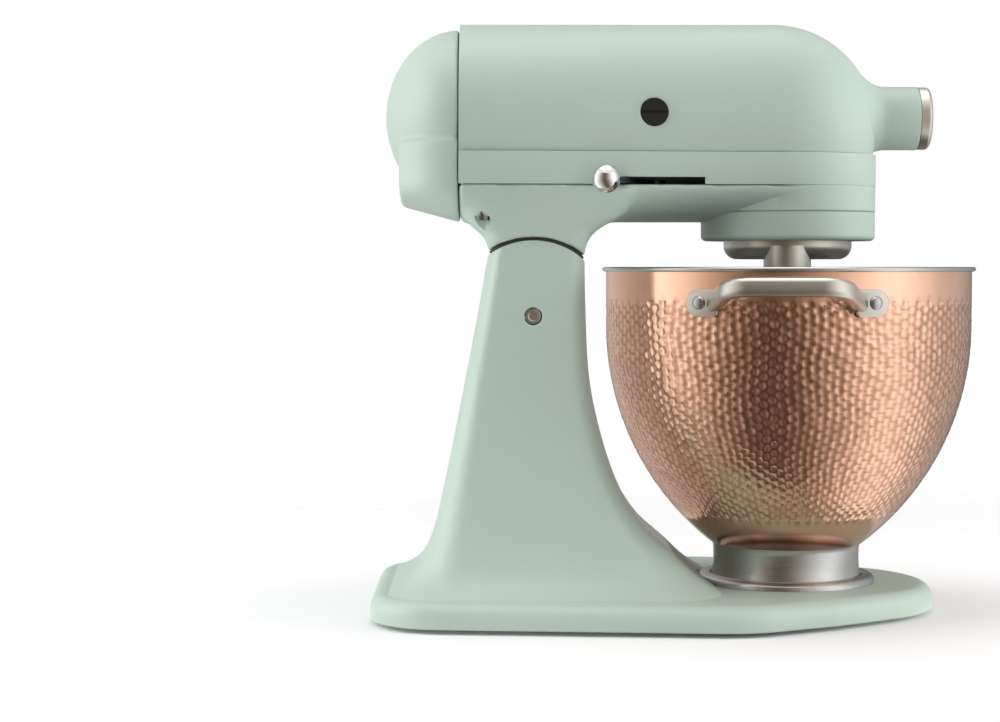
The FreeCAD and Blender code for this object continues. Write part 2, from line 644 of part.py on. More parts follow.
def make_clamp_plate():
    """The plate that the bowl locks into, with three lips over the bowl's lugs."""
    dish = turned("clamp_dish", (
        ("0", "0"), (PLATE_RADIUS, "0"), (PLATE_RADIUS, "plate_height - plate_lip"),
        (f"{PLATE_RADIUS} - plate_lip", "plate_height"), (PLATE_INNER, "plate_height"),
        (PLATE_INNER, "plate_floor"), ("0", "plate_floor")), start="base_top")
    lips = []
    for i, first in enumerate(LIP_STARTS):
        lips.append(arc_ring(f"clamp_lip_{i}", ("bowl_foot_radius + bowl_clearance", f"{PLATE_INNER} + plate_lip / 2"),
                             ("base_top + plate_height - plate_lip", "base_top + plate_height"), first, LIP_SWEEP))
    holes = []
    for i, (x, y) in enumerate(PLATE_SCREWS):
        holes.append(rod(f"clamp_hole_{i}", "screw_radius + screw_fit", ("base_top - 1", f"{PLATE_FLOOR} + 1"),
                         at=(x, y)))
    node(cut("clamp_plate", fuse("clamp_body", [dish] + lips), holes), "bowl_clamp_plate")
    screws = [screw(f"plate_screw_{i}", PLATE_FLOOR, f"{BASE_CEILING} - base_wall / 2", at=spot_)
              for i, spot_ in enumerate(PLATE_SCREWS)]
    return node(group("plate_screws", screws), "clamp_plate_screws")


def make_hinge_pin():
    """The pin that the head tilts on, through both cheeks of the column."""
    reach = "column_chest_half - column_wall / 4"
    return node(rod("tilt_pin", "hinge_pin_radius", (f"-({reach})", reach), "y", ("hinge_x", "hinge_z")), "hinge_pin")


# Bowl

BOWL_CENTRE = "bowl_radius - bowl_arc_radius"
BOWL_FLOOR_RADIUS = "bowl_foot_top_radius + floor_lap"
BOWL_RISE = f"sqrt(bowl_arc_radius ^ 2 - ({BOWL_FLOOR_RADIUS} - ({BOWL_CENTRE})) ^ 2)"
BOWL_ARC_Z = f"bowl_floor_z + {BOWL_RISE}"
BOWL_INNER_RADIUS = f"{BOWL_CENTRE} + sqrt((bowl_arc_radius - bowl_wall) ^ 2 - ({BOWL_RISE} - bowl_wall) ^ 2)"


def bowl_round(angle, distance, height):
    """A point round the bowl, at an angle from the middle of its handle."""
    turn = math.radians(angle + val("bowl_turn"))
    return Vec(distance * math.sin(turn), -distance * math.cos(turn), height)


def rivet_tools(radius, near, far):
    """Short bars across the bowl's wall at both rivets."""
    found = []
    for sign in (-1, 1):
        angle = sign * val("rivet_spread")
        start = bowl_round(angle, near, val("handle_lug_z"))
        out = bowl_round(angle, 1, 0)
        found.append(Part.makeCylinder(radius, far - near, start, out))
    return found


def make_bowl():
    """The bowl with its rolled rim, and the foot that locks into the clamp plate."""
    shell = turned("bowl_wall_solid", (
        ("0", "bowl_floor_z"),
        (BOWL_FLOOR_RADIUS, "bowl_floor_z", "bowl_arc_radius"),
        ("bowl_radius", BOWL_ARC_Z),
        ("bowl_radius", "bowl_rim_z - 2 * bowl_rim_bead"),
        ("bowl_radius + bowl_rim_bead", "bowl_rim_z - 1.4 * bowl_rim_bead"),
        ("bowl_radius + bowl_rim_bead", "bowl_rim_z - bowl_rim_bead / 2"),
        ("bowl_radius + bowl_rim_bead / 2", "bowl_rim_z"),
        ("bowl_radius - bowl_wall", "bowl_rim_z"),
        ("bowl_radius - bowl_wall", BOWL_ARC_Z, "-(bowl_arc_radius - bowl_wall)"),
        (BOWL_INNER_RADIUS, "bowl_floor_z + bowl_wall"),
        ("0", "bowl_floor_z + bowl_wall")))
    holes = feature("bowl_rivet_holes", Part.makeCompound(
        rivet_tools(val("rivet_shank + screw_fit"), val("bowl_radius - handle_lug_radius"), val("bowl_radius + handle_lug_radius"))))
    node(cut("bowl", shell, [holes]), "bowl_shell")
    ring = turned("bowl_foot_ring", (
        ("bowl_foot_radius - bowl_foot_wall", PLATE_FLOOR), ("bowl_foot_radius", PLATE_FLOOR),
        ("bowl_foot_top_radius", "bowl_floor_z"), ("bowl_foot_top_radius - bowl_foot_wall", "bowl_floor_z")))
    lugs = []
    for i, first in enumerate(LUG_STARTS):
        lugs.append(arc_ring(f"bowl_lug_{i}",
                             ("bowl_foot_radius - bowl_foot_wall / 2", "bowl_foot_radius + bowl_lug_reach"),
                             (PLATE_FLOOR, f"{PLATE_FLOOR} + bowl_lug_height"), first, LUG_SWEEP))
    return node(fuse("bowl_foot_solid", [ring] + lugs), "bowl_foot")


def rounded_bar(centre, across, up, width, height, corner):
    """A closed outline of a rounded bar in the plane of two directions."""
    spots = []
    for sx, sy in ((1, -1), (1, 1), (-1, 1), (-1, -1)):
        spots.append((sx * (width / 2 - corner), sy * (height / 2 - corner), sx, sy))
    edges = []
    points = []
    for i, (u, v, sx, sy) in enumerate(spots):
        first, second = (0, sy), (sx, 0)
        if i % 2:
            first, second = second, first
        middle = (sx * math.sqrt(0.5), sy * math.sqrt(0.5))
        points.append([centre + across * (u + corner * d[0]) + up * (v + corner * d[1])
                       for d in (first, middle, second)])
    for i, (start, middle, end) in enumerate(points):
        edges.append(Part.Arc(start, middle, end).toShape())
        after = points[(i + 1) % 4][0]
        edges.append(Part.LineSegment(end, after).toShape())
    return Part.Wire(edges)


def make_handle():
    """The bowl's handle: a bar on two arms whose lugs are riveted to the bowl."""
    radius, lug_z = val("bowl_radius + lug_gap"), val("handle_lug_z")
    thick, spread = val("handle_lug_thick"), val("handle_spread")
    out = bowl_round(0, 1, 0)
    side = bowl_round(90, 1, 0)
    solids = []
    starts = []
    for sign in (-1, 1):
        way = bowl_round(sign * spread, 1, 0)
        solids.append(Part.makeCylinder(val("handle_lug_radius"), thick, bowl_round(sign * spread, radius, lug_z), way))
        starts.append(bowl_round(sign * (spread - val("arm_inset")), radius + thick / 2, lug_z))
    reach = val("bowl_radius + handle_reach - handle_bar_depth / 2")
    corners = [out * reach + side * (sign * val("handle_bar_half")) + Vec(0, 0, val("handle_bar_z"))
               for sign in (-1, 1)]
    bend = val("handle_bend")
    run = (corners[1] - corners[0]).normalize()
    edges = []
    arm = (corners[0] - starts[0]).normalize()
    half_turn = math.acos(arm.dot(run)) / 2
    tangent = bend * math.tan(half_turn)
    entry, leave = corners[0] - arm * tangent, corners[0] + run * tangent
    bow = (leave + entry) * 0.5 - corners[0]
    middle = corners[0] + bow.normalize() * (bend / math.cos(half_turn) - bend)
    mirror = [(p - out * p.dot(out) - Vec(0, 0, p.z)) for p in (starts[0], entry, middle, leave)]
    twins = [p - m * 2 for p, m in zip((starts[0], entry, middle, leave), mirror)]
    edges.append(Part.LineSegment(starts[0], entry).toShape())
    edges.append(Part.Arc(entry, middle, leave).toShape())
    edges.append(Part.LineSegment(leave, twins[3]).toShape())
    edges.append(Part.Arc(twins[3], twins[2], twins[1]).toShape())
    edges.append(Part.LineSegment(twins[1], twins[0]).toShape())
    up = arm.cross(run).normalize()
    up = up if up.z > 0 else up * -1
    depth, height = val("handle_bar_depth"), val("handle_bar_height")
    outline = rounded_bar(starts[0], up.cross(arm).normalize(), up, depth, height, depth * 0.45)
    bar = Part.Wire(edges).makePipeShell([outline], True, False)
    solid = solids[0].fuse([solids[1], bar])
    face = val("bowl_radius + lug_gap + handle_lug_thick")
    far = val("bowl_radius + handle_reach")
    holes = rivet_tools(val("rivet_shank + screw_fit"), val("bowl_radius - handle_lug_radius"), far)
    seats = rivet_tools(val("rivet_radius + screw_fit"), face, far)
    wall = Part.makeCylinder(val("bowl_radius"), lug_z * 2)
    node(feature("handle", solid.cut(holes + seats + [wall])), "bowl_handle")
    rivets = []
    shanks = rivet_tools(val("rivet_shank"), val("bowl_radius - bowl_wall - rivet_tail"), face)
    heads = rivet_tools(val("rivet_radius"), face, face + val("rivet_height"))
    for shank, head in zip(shanks, heads):
        rivets.append(shank.fuse(head))
    return node(feature("rivets", Part.makeCompound(rivets)), "handle_rivets")


# Head

def head_half(x):
    """Half width of the head in plan: it swells smoothly from the nose to the rear seam."""
    past = (x - val("head_nose_x")) / val("head_nose_reach")
    if past > 0:
        return val("head_front_half") * math.sqrt(1 - past ** 2)
    share = (val("head_nose_x") - x) / (val("head_nose_x") - val("head_seam_x"))
    swell = (1 - math.cos(math.pi * min(max(share, 0), 1))) / 2
    return val("head_front_half") + (val("head_rear_half") - val("head_front_half")) * swell


def stations(first, last, count=7):
    """Even steps along the head."""
    return [first + (last - first) * i / (count - 1) for i in range(count)]


def stretched(shape, centre, sizes):
    """A unit shape stretched along X, Y and Z and moved to its centre."""
    matrix = FreeCAD.Matrix()
    matrix.scale(*sizes)
    matrix.move(centre)
    return shape.transformGeometry(matrix)


def oval(x, half, rise, z):
    """A whole oval section of the head."""
    circle = Part.Wire([Part.makeCircle(1, Vec(0, 0, 0), Vec(1, 0, 0))])
    return stretched(circle, Vec(x, 0, z), (1, half, rise))


def low_oval(x, half, depth, z, rise=0):
    """The lower half of an oval, with straight sides above it."""
    arc = Part.Arc(Vec(0, -1, 0), Vec(0, 0, -1), Vec(0, 1, 0)).toShape()
    edges = [stretched(arc, Vec(x, 0, z), (1, half, depth))]
    corners = [Vec(x, half, z), Vec(x, half, z + rise), Vec(x, -half, z + rise), Vec(x, -half, z)]
    if not rise:
        corners = [corners[0], corners[3]]
    for start, end in zip(corners, corners[1:]):
        edges.append(Part.LineSegment(start, end).toShape())
    return Part.Wire(edges)


def half_ball():
    """The front half of a unit ball."""
    return Part.makeSphere(1, Vec(0, 0, 0), Vec(1, 0, 0), 0, 90, 360)


def head_solid():
    """The head's smooth outside, from the rear seam to the nose."""
    nose, rise, z = val("head_nose_x"), val("head_rise"), val("head_axis_z")
    runs = stations(val("head_seam_x"), nose)
    tube = Part.makeLoft([oval(x, head_half(x), rise, z) for x in runs], True, False)
    sizes = (val("head_nose_reach"), val("head_front_half"), rise)
    return tube.fuse(stretched(half_ball(), Vec(nose, 0, z), sizes))


def head_room():
    """The room inside the head: a cone for the motor and a ball for the gears."""
    wall, nose, rear, z = val("head_wall"), val("head_nose_x"), val("head_seam_x"), val("head_axis_z")
    front_radius = val("head_front_half") - wall
    rear_radius = min(val("head_rear_half"), val("head_rise")) - wall
    growth = (rear_radius - front_radius) / (nose - rear)
    cone = Part.makeCone(rear_radius + growth, front_radius, nose - rear + 1, Vec(rear - 1, 0, z), Vec(1, 0, 0))
    return [cone, Part.makeSphere(front_radius, Vec(nose, 0, z))]


def slab(low, high):
    """A wide slab between two heights."""
    far = val("bowl_radius - column_foot_rear")
    return Part.makeBox(2 * far, 2 * far, high - low, Vec(-far, -far, low))


def bar(radius, start, end, axis, at):
    """A cylinder from numbers, along X, Y or Z."""
    place = Vec(*{"x": (start, at[0], at[1]), "y": (at[0], start, at[1]), "z": (at[0], at[1], start)}[axis])
    way = {"x": Vec(1, 0, 0), "y": Vec(0, 1, 0), "z": Vec(0, 0, 1)}[axis]
    return Part.makeCylinder(radius, end - start, place, way)


def brush_face():
    """Distance of the head's side from the middle plane at the brush caps."""
    lift = (val("hub_z") - val("head_axis_z")) / val("head_rise")
    return head_half(val("brush_x")) * math.sqrt(1 - lift ** 2)


def make_motor_housing():
    """The upper casting with the power hub at its nose."""
    z, top = val("hub_z"), val("band_top")
    shell = head_solid().common(slab(top, 600)).cut(head_room())
    hub = bar(val("hub_radius"), val("hub_root_x"), val("hub_end_x"), "x", (0, z))
    flare, flare_x = val("hub_flare"), val("hub_flare_x")
    ring = bar(val("hub_radius") + flare, flare_x - flare, flare_x, "x", (0, z))
    ring = ring.cut(Part.makeTorus(val("hub_radius") + flare, flare, Vec(flare_x, 0, z), Vec(1, 0, 0)))
    solid = shell.fuse([hub, ring.common(slab(top, 600))])
    reach = val("head_rear_half") + 10
    holes = [
        bar(val("socket_radius"), val("hub_web_x"), val("hub_end_x") + 1, "x", (0, z)),
        bar(val("hub_shaft_radius + bush_wall"), val("hub_root_x") - 1, val("hub_web_x") + 1, "x", (0, z)),
        bar(val("knob_shank + screw_fit"), 0, reach, "y", (val("knob_x"), z)),
        bar(val("brush_cap_radius + screw_fit"), 30, reach, "y", (val("brush_x"), z)),
        bar(val("brush_cap_radius + screw_fit"), -reach, -30, "y", (val("brush_x"), z)),
    ]
    return node(feature("housing", solid.cut(holes)), "motor_housing")


def plan_face(inset, z):
    """The head's plan, drawn in, as a face at a height."""
    nose, rear = val("head_nose_x"), val("head_seam_x")
    points = [Vec(x, head_half(x) - inset, z) for x in stations(rear, nose)]
    side = Part.BSplineCurve()
    side.interpolate(Points=points, InitialTangent=Vec(1, 0, 0), FinalTangent=Vec(1, 0, 0))
    twin = Part.BSplineCurve()
    twin.interpolate(Points=[Vec(p.x, -p.y, p.z) for p in points], InitialTangent=Vec(1, 0, 0),
                     FinalTangent=Vec(1, 0, 0))
    circle = Part.Arc(Vec(0, -1, 0), Vec(1, 0, 0), Vec(0, 1, 0)).toShape()
    front = stretched(circle, Vec(nose, 0, z), (val("head_nose_reach") - inset, val("head_front_half") - inset, 1))
    back = Part.LineSegment(points[0], Vec(rear, -points[0].y, z)).toShape()
    return Part.Face(Part.Wire(Part.__sortEdges__([side.toShape(), front, twin.toShape(), back])))


def plan_ring(outer, inner, low, high):
    """A wall that follows the head's plan, between two insets and two heights."""
    return plan_face(outer, low).cut(plan_face(inner, low)).extrude(Vec(0, 0, high - low))


def lever_slot(side):
    """The opening that a lever swings in."""
    name, sign = side
    x, y = val(f"{name}_pivot_x"), abs(val(f"{name}_pivot_y"))
    swing = math.radians(val(f"{name}_swing") / 2)
    half = (head_half(x) - y) * math.tan(swing) + val("lever_wide / 2 + slot_room") / math.cos(swing)
    height = val("lever_slot")
    near, far = y + 20, val("head_rear_half") + 20
    low = Vec(x - half, near if sign > 0 else -far, val("lever_z") - height / 2)
    return Part.makeBox(2 * half, far - near, height, low)


LEVER_SIDES = (("speed", -1), ("lock", 1))


def make_trim_band():
    """The band round the head at the joint of its castings."""
    low, high = val("band_bottom"), val("band_top")
    solid = plan_ring(0, val("band_thick"), low, high)
    return node(feature("band", solid.cut([lever_slot(side) for side in LEVER_SIDES])), "trim_band")


def trough():
    """The rounded underside of the gear case, from the rear seam to the collar."""
    z, depth = val("band_bottom"), val("case_depth")
    runs = [low_oval(x, head_half(x), depth, z) for x in stations(val("head_seam_x"), val("trough_end_x"), 8)]
    return Part.makeLoft(runs, True, False)


def trough_room(front):
    """The stepped room inside the trough, behind a station."""
    low, depth, rear = val("band_bottom"), val("case_depth"), val("head_seam_x")
    rooms = []
    for share, half in ((0.3, val("trough_room_top")), (0.74, val("trough_room_floor"))):
        rooms.append(Part.makeBox(front - rear + 1, 2 * half, depth * share + 1,
                                  Vec(rear - 1, -half, low - depth * share)))
    return rooms


def make_neck():
    """The neck's outside, from the arc of the hinge up into the gear case."""
    body = doc.addObject("PartDesign::Body", "neck_body")
    outlines = [rounded_section(body, f"{row[0]}_outline", row[0]) for row in NECK_SECTIONS]
    loft(body, "neck_outside", outlines)
    doc.recompute()
    return body


WHEEL_DISTANCE = "drive_module * (centre_teeth + drive_teeth) / 2"
WHEEL_X = f"-sqrt(({WHEEL_DISTANCE}) ^ 2 - wheel_y ^ 2)"
CHAMBER_FLOOR = "collar_split + case_floor"
RING_FLOOR = "ring_bottom + ring_lip"


def make_gear_case():
    """The lower casting: trough, gear chamber, collar, neck and hinge tongue."""
    wall, low, high = val("head_wall"), val("band_bottom"), val("band_top")
    side_inset = val("band_thick") + wall
    collar, split, floor = val("collar_radius"), val("collar_split"), val(CHAMBER_FLOOR)
    hinge = (val("hinge_x"), val("hinge_z"))
    reach = 2 * val("head_rear_half")
    neck = make_neck().Shape.cut(bar(val("knuckle_radius + knuckle_gap"), -reach, reach, "y", hinge))
    wheel = (val(WHEEL_X), val("wheel_y"))
    back = -collar + val("bearing_width") / 2
    solid = trough().fuse([bar(collar, split, low, "z", (0, 0)), neck])
    pivot = (val("speed_pivot_x"), val("speed_pivot_y"))
    lock = (val("lock_pivot_x"), val("lock_pivot_y"))
    shelf = val("lever_z - lever_thick / 2 - screw_fit")
    room = [val(name) for name in ("worm_room_length", "worm_room_half", "worm_room_floor")]
    solid = solid.cut(trough_room(back) + [
        bar(val("chamber_radius"), floor, low + 1, "z", (0, 0)),
        Part.makeBox(room[0], 2 * room[1], high - floor, Vec(back - room[0] / 2, -room[1], floor + room[2])),
        bar(val("pinion_room"), floor + val("case_floor"), low + 1, "z", wheel),
        bar(collar + val("screw_fit"), split - val("case_depth"), split, "z", (0, 0)),
    ])
    solid = solid.fuse(plan_ring(val("band_thick"), side_inset, low, high))
    ribs = []
    stator_end = val("stator_front_x - stator_length")
    for x in (stator_end + 6, val("stator_front_x") - 14):
        rib = Part.makeBox(8, 34, high - 5 - (low - val("case_depth") + 2), Vec(x, -17, low - val("case_depth") + 2))
        ribs.append(rib.cut(bar(val("stator_radius"), x - 5, x + 15, "x", (0, val("hub_z")))))
    floor_inside = low - val("case_depth") + 2
    posts = [
        bar(val("pivot_post"), floor_inside, shelf, "z", pivot),
        bar(val("pivot_pin"), shelf - 1, val("lever_z + lever_thick / 2 + pivot_pin / 2"), "z", pivot),
        bar(val("lock_shaft + wall_of_post"), floor_inside, shelf, "z", lock),
    ]
    tongue = sector("tongue_plate", "hinge_pin_radius", "knuckle_radius + knuckle_gap + case_floor + 4",
                    ("tongue_front_angle", "tongue_rear_angle"), "tongue_half", "hinge_x", "hinge_z").Shape
    boss = bar(val("tongue_boss"), -val("tongue_half"), val("tongue_half"), "y", hinge)
    solid = solid.fuse(ribs + posts + [tongue, boss])
    notches = []
    for sign in (-1, 1):
        notches.append(bar(val("screw_head + screw_fit"), val("hinge_z"), val("neck_screw_z"), "z",
                           (val("neck_screw_x"), sign * val("neck_screw_y"))))
        notches.append(bar(val("screw_radius + screw_fit"), val("neck_screw_z") - 1, high + 1, "z",
                           (val("neck_screw_x"), sign * val("neck_screw_y"))))
    holes = [
        bar(val("hinge_pin_radius + hinge_fit"), -reach, reach, "y", hinge),
        bar(val("centre_shaft_radius + hinge_fit + bush_wall"), split - 1, floor + 1, "z", (0, 0)),
        bar(val("wheel_shaft_radius + hinge_fit + bush_wall"), floor - 1, floor + 9, "z", wheel),
        bar(val("lock_shaft + hinge_fit"), val("hinge_z"), high, "z", lock),
    ]
    return node(feature("lower_case", solid.cut(holes + notches + [lever_slot(side) for side in LEVER_SIDES])),
                "gear_case")


def cover_solid():
    """The rear cover's outside: a dome, and a skirt that carries on the line of the gear case."""
    seam, low = val("head_seam_x"), val("band_bottom")
    sizes = (-val("cover_reach"), val("head_rear_half - cover_step"), val("cover_rise"))
    dome = stretched(half_ball(), Vec(seam, 0, val("cover_middle_z")), sizes)
    depth, rise = val("case_depth"), val("skirt_top - band_bottom")
    wide, narrow, lift = val("head_rear_half - cover_step"), val("skirt_half"), val("skirt_rise")
    runs = []
    for share in (0, 0.4, 0.78, 1):
        half = wide - (wide - narrow) * share ** 2.5
        runs.append(low_oval(seam - val("skirt_reach") * share, half, depth - lift * share, low, rise))
    return dome.fuse(Part.makeLoft(runs, True, False))


def make_rear_cover():
    """The cover over the back of the motor."""
    wall, seam, middle = val("cover_wall"), val("head_seam_x"), val("cover_middle_z")
    back = seam - val("cover_reach")
    room = Part.makeCone(val("cover_room"), val("cover_room_end"), val("cover_reach - cover_floor"),
                         Vec(seam, 0, val("hub_z")), Vec(-1, 0, 0))
    low_room = Part.makeBox(val("skirt_reach") - 2 * wall, val("cover_room_end"), val("cover_room"),
                            Vec(seam - val("skirt_reach") + 2 * wall, -val("cover_room_end") / 2, val("inlet_z - inlet_radius")))
    solid = cover_solid().cut([room, low_room])
    holes = [
        bar(val("screw_radius + screw_fit"), back - 1, back + 20, "x", (0, middle)),
        bar(val("screw_head + screw_fit"), back - 1, back + wall + val("screw_head_height"), "x", (0, middle)),
        bar(val("inlet_radius"), seam - val("skirt_reach") - 1, seam - val("skirt_reach") + 3 * wall, "x",
            (0, val("inlet_z"))),
    ]
    node(feature("cover", solid.cut(holes)), "rear_cover")
    tip = "rear_bearing_x - bearing_width / 2 - plate_stand"
    node(screw("cover_screw", "head_seam_x - cover_reach + cover_wall + screw_head_height", tip, "x", ("0", "cover_middle_z")),
         "rear_cover_screw")
    end = "head_seam_x - skirt_reach"
    flange = rod("inlet_flange", "inlet_radius", (f"{end} - 1.2", f"{end} + cover_wall"), "x", ("0", "inlet_z"))
    bore = rod("inlet_hole", "inlet_bore", (f"{end} - 5", f"{end} + 10"), "x", ("0", "inlet_z"))
    return node(cut("inlet", flange, [bore]), "cord_inlet")


def make_drip_ring():
    """The ring under the collar, which holds the fixed ring gear."""
    outer, round_ = "collar_radius - screw_fit", "ring_round"
    lip = "planet_radius + planet_gap"
    return node(turned("drip_ring_solid", (
        (lip, "ring_bottom"), (f"{outer} - {round_}", "ring_bottom", round_), (outer, f"ring_bottom + {round_}"),
        (outer, "collar_split"), ("ring_gear_radius", "collar_split"), ("ring_gear_radius", RING_FLOOR),
        (lip, RING_FLOOR))), "planetary_collar")


# Gears

PRESSURE = math.radians(20)


def involute(angle):
    """The involute function."""
    return math.tan(angle) - angle


def gear_outline(teeth, pitch, addendum, dedendum, share, phase):
    """Corners of a spur gear; share is the tooth's part of the pitch, phase the middle of one tooth."""
    base = pitch * math.cos(PRESSURE)
    sides = []
    for radius in (pitch - dedendum, pitch - dedendum * 0.4, pitch + addendum * 0.45, pitch + addendum):
        lean = math.acos(base / max(radius, base))
        sides.append((radius, math.pi * share / teeth + involute(PRESSURE) - involute(lean)))
    points = []
    for tooth in range(teeth):
        middle = phase + 2 * math.pi * tooth / teeth
        turns = [(r, middle - half) for r, half in sides] + [(r, middle + half) for r, half in reversed(sides)]
        points += [Vec(r * math.cos(a), r * math.sin(a), 0) for r, a in turns]
    return points


def outline_wire(points, scale=1.0, turn=0.0, lift=0.0):
    """A closed outline, scaled, turned and lifted."""
    c, d = math.cos(turn), math.sin(turn)
    moved = [Vec(scale * (p.x * c - p.y * d), scale * (p.x * d + p.y * c), lift) for p in points]
    return Part.makePolygon(moved + moved[:1])


def gear_prism(points, low, height, at=(0, 0)):
    """A straight gear on a vertical shaft."""
    solid = Part.Face(outline_wire(points)).extrude(Vec(0, 0, height))
    solid.translate(Vec(at[0], at[1], low))
    return solid


def slim(share=0.5, sign=-1):
    """A tooth's share of its pitch, less or more the backlash."""
    return share * (1 + sign * val("gear_backlash"))


def planet_spot():
    """Place of the beater shaft, and its direction from the mixing axis."""
    angle = math.radians(val("planet_turn") - 90)
    return (val("beater_offset") * math.cos(angle), val("beater_offset") * math.sin(angle)), angle


def planet_module():
    """Module of the ring gear and its pinion."""
    return 2 * val("beater_offset") / val("ring_teeth - planet_teeth")


PLANET_X = "beater_offset * sin(planet_turn)"
PLANET_Y = "-beater_offset * cos(planet_turn)"
PLANET_AT = (PLANET_X, PLANET_Y)
PLANET_PIN_Z = "(planet_bottom + planet_top) / 2"


def make_ring_gear():
    """The fixed ring gear that the planet pinion rolls in."""
    pitch, module = planet_module() * val("ring_teeth") / 2, planet_module()
    spaces = gear_outline(int(val("ring_teeth")), pitch, module * 1.1, module * 0.8, slim(sign=1), planet_spot()[1])
    low, height = val(RING_FLOOR), val("gear_width + 1")
    ring = bar(val("ring_gear_radius"), low, low + height, "z", (0, 0))
    return node(feature("ring_gear_solid", ring.cut(gear_prism(spaces, low - 1, height + 2))), "ring_gear")


def make_planetary():
    """The planetary disc on the centre shaft, its pin and its gears."""
    disc = turned("disc", (
        ("0", "planet_bottom"), ("planet_radius - planet_edge", "planet_bottom", "planet_edge"),
        ("planet_radius", "planet_bottom + planet_edge"), ("planet_radius", "planet_top"), ("0", "planet_top")))
    boss = rod("beater_boss", "boss_radius", ("boss_bottom", "planet_bottom + planet_edge"), at=PLANET_AT)
    bore = rod("beater_bore", "beater_radius + hinge_fit", ("boss_bottom - 1", "planet_top + 1"), at=PLANET_AT)
    seat_z = "planet_bottom + planet_floor"
    seat = rod("centre_seat", "centre_shaft_radius", (seat_z, "planet_top + 1"))
    pin_half = "planet_radius - planet_edge * 2"
    pin_hole = rod("planet_pin_hole", "cross_pin_radius", (f"-({pin_half})", pin_half), "x", ("0", PLANET_PIN_Z))
    node(cut("planetary", fuse("planetary_body", [disc, boss]), [bore, seat, pin_hole]), "planetary_disc")
    shaft = rod("centre_rod", "centre_shaft_radius", (seat_z, "hub_z - bevel_radius"))
    shaft_hole = rod("shaft_pin_hole", "cross_pin_radius", (f"-({pin_half})", pin_half), "x", ("0", PLANET_PIN_Z))
    node(cut("centre_spindle", shaft, [shaft_hole]), "centre_shaft")
    node(rod("planet_pin", "cross_pin_radius", (f"-({pin_half})", pin_half), "x", ("0", PLANET_PIN_Z)),
         "planetary_pin")
    module, teeth = val("drive_module"), int(val("centre_teeth"))
    toward = math.atan2(val("wheel_y"), val(WHEEL_X))
    points = gear_outline(teeth, module * teeth / 2, module * 0.85, module * 1.1, slim(), toward)
    gear = gear_prism(points, val("centre_gear_z"), val("gear_width"))
    gear = gear.cut(bar(val("centre_shaft_radius"), 0, 400, "z", (0, 0)))
    node(feature("centre_wheel", gear), "centre_gear")
    return node(feature("centre_bevel_solid", bevel(0)), "centre_bevel")


def bevel(phase):
    """A bevel gear on a vertical shaft, below the point where both shafts cross."""
    teeth, radius, face, z = int(val("bevel_teeth")), val("bevel_radius"), val("bevel_face"), val("hub_z")
    module = 2 * radius / teeth
    points = gear_outline(teeth, radius, module * 0.6, module * 0.85, slim(0.46), phase)
    wires = [outline_wire(points, 1, 0, z - radius), outline_wire(points, face, 0, z - radius * face)]
    return Part.makeLoft(wires, True, True)


def make_hub_drive():
    """The hub's shaft with its square socket, and its bevel gear."""
    shaft = rod("hub_rod", "hub_shaft_radius", ("bevel_radius", "hub_web_x - cap_fit"), "x", ("0", "hub_z"))
    square = block("hub_square", ("hub_web_x - 3 * square_half", "hub_web_x + 1"), ("-square_half", "square_half"),
                   ("hub_z - square_half", "hub_z + square_half"))
    node(cut("hub_spindle", shaft, [square]), "hub_shaft")
    gear = bevel(math.pi / val("bevel_teeth"))
    gear.rotate(Vec(0, 0, val("hub_z")), Vec(0, 1, 0), -90)
    return node(feature("hub_bevel_solid", gear), "hub_bevel")


def make_beater_shaft():
    """The beater shaft with its cross pin and the planet pinion."""
    top = f"{RING_FLOOR} + gear_width + 1"
    shaft = rod("beater_rod", "beater_radius", ("beater_end", top), at=PLANET_AT)
    reach = (f"{PLANET_X} - beater_pin_half", f"{PLANET_X} + beater_pin_half")
    hole = rod("beater_pin_hole", "cross_pin_radius", reach, "x", (PLANET_Y, "beater_pin_z"))
    groove = ("beater_pin_z - groove_half", "beater_pin_z + groove_half")
    around = rod("groove_outer", "beater_radius + 1", groove, at=PLANET_AT)
    inside = rod("groove_inner", "beater_radius - groove_depth", ("beater_end", top), at=PLANET_AT)
    node(cut("beater_spindle", shaft, [hole, cut("groove", around, [inside])]), "beater_shaft")
    node(rod("beater_pin", "cross_pin_radius", reach, "x", (PLANET_Y, "beater_pin_z")), "beater_cross_pin")
    at, angle = planet_spot()
    module, teeth = planet_module(), int(val("planet_teeth"))
    points = gear_outline(teeth, module * teeth / 2, module * 0.75, module * 1.0, slim(), angle)
    low = val(RING_FLOOR) + val("screw_fit") * 3
    pinion = gear_prism(points, low, val("gear_width"), at)
    pinion = pinion.cut(bar(val("beater_radius"), low - 1, low + val("gear_width") + 1, "z", at))
    return node(feature("planet_gear", pinion), "planet_pinion")


def worm_sizes():
    """Module, pitch radius and lead of the worm wheel."""
    pitch = val("wheel_y - worm_radius")
    module = 2 * pitch / val("wheel_teeth")
    return module, pitch, math.pi * module


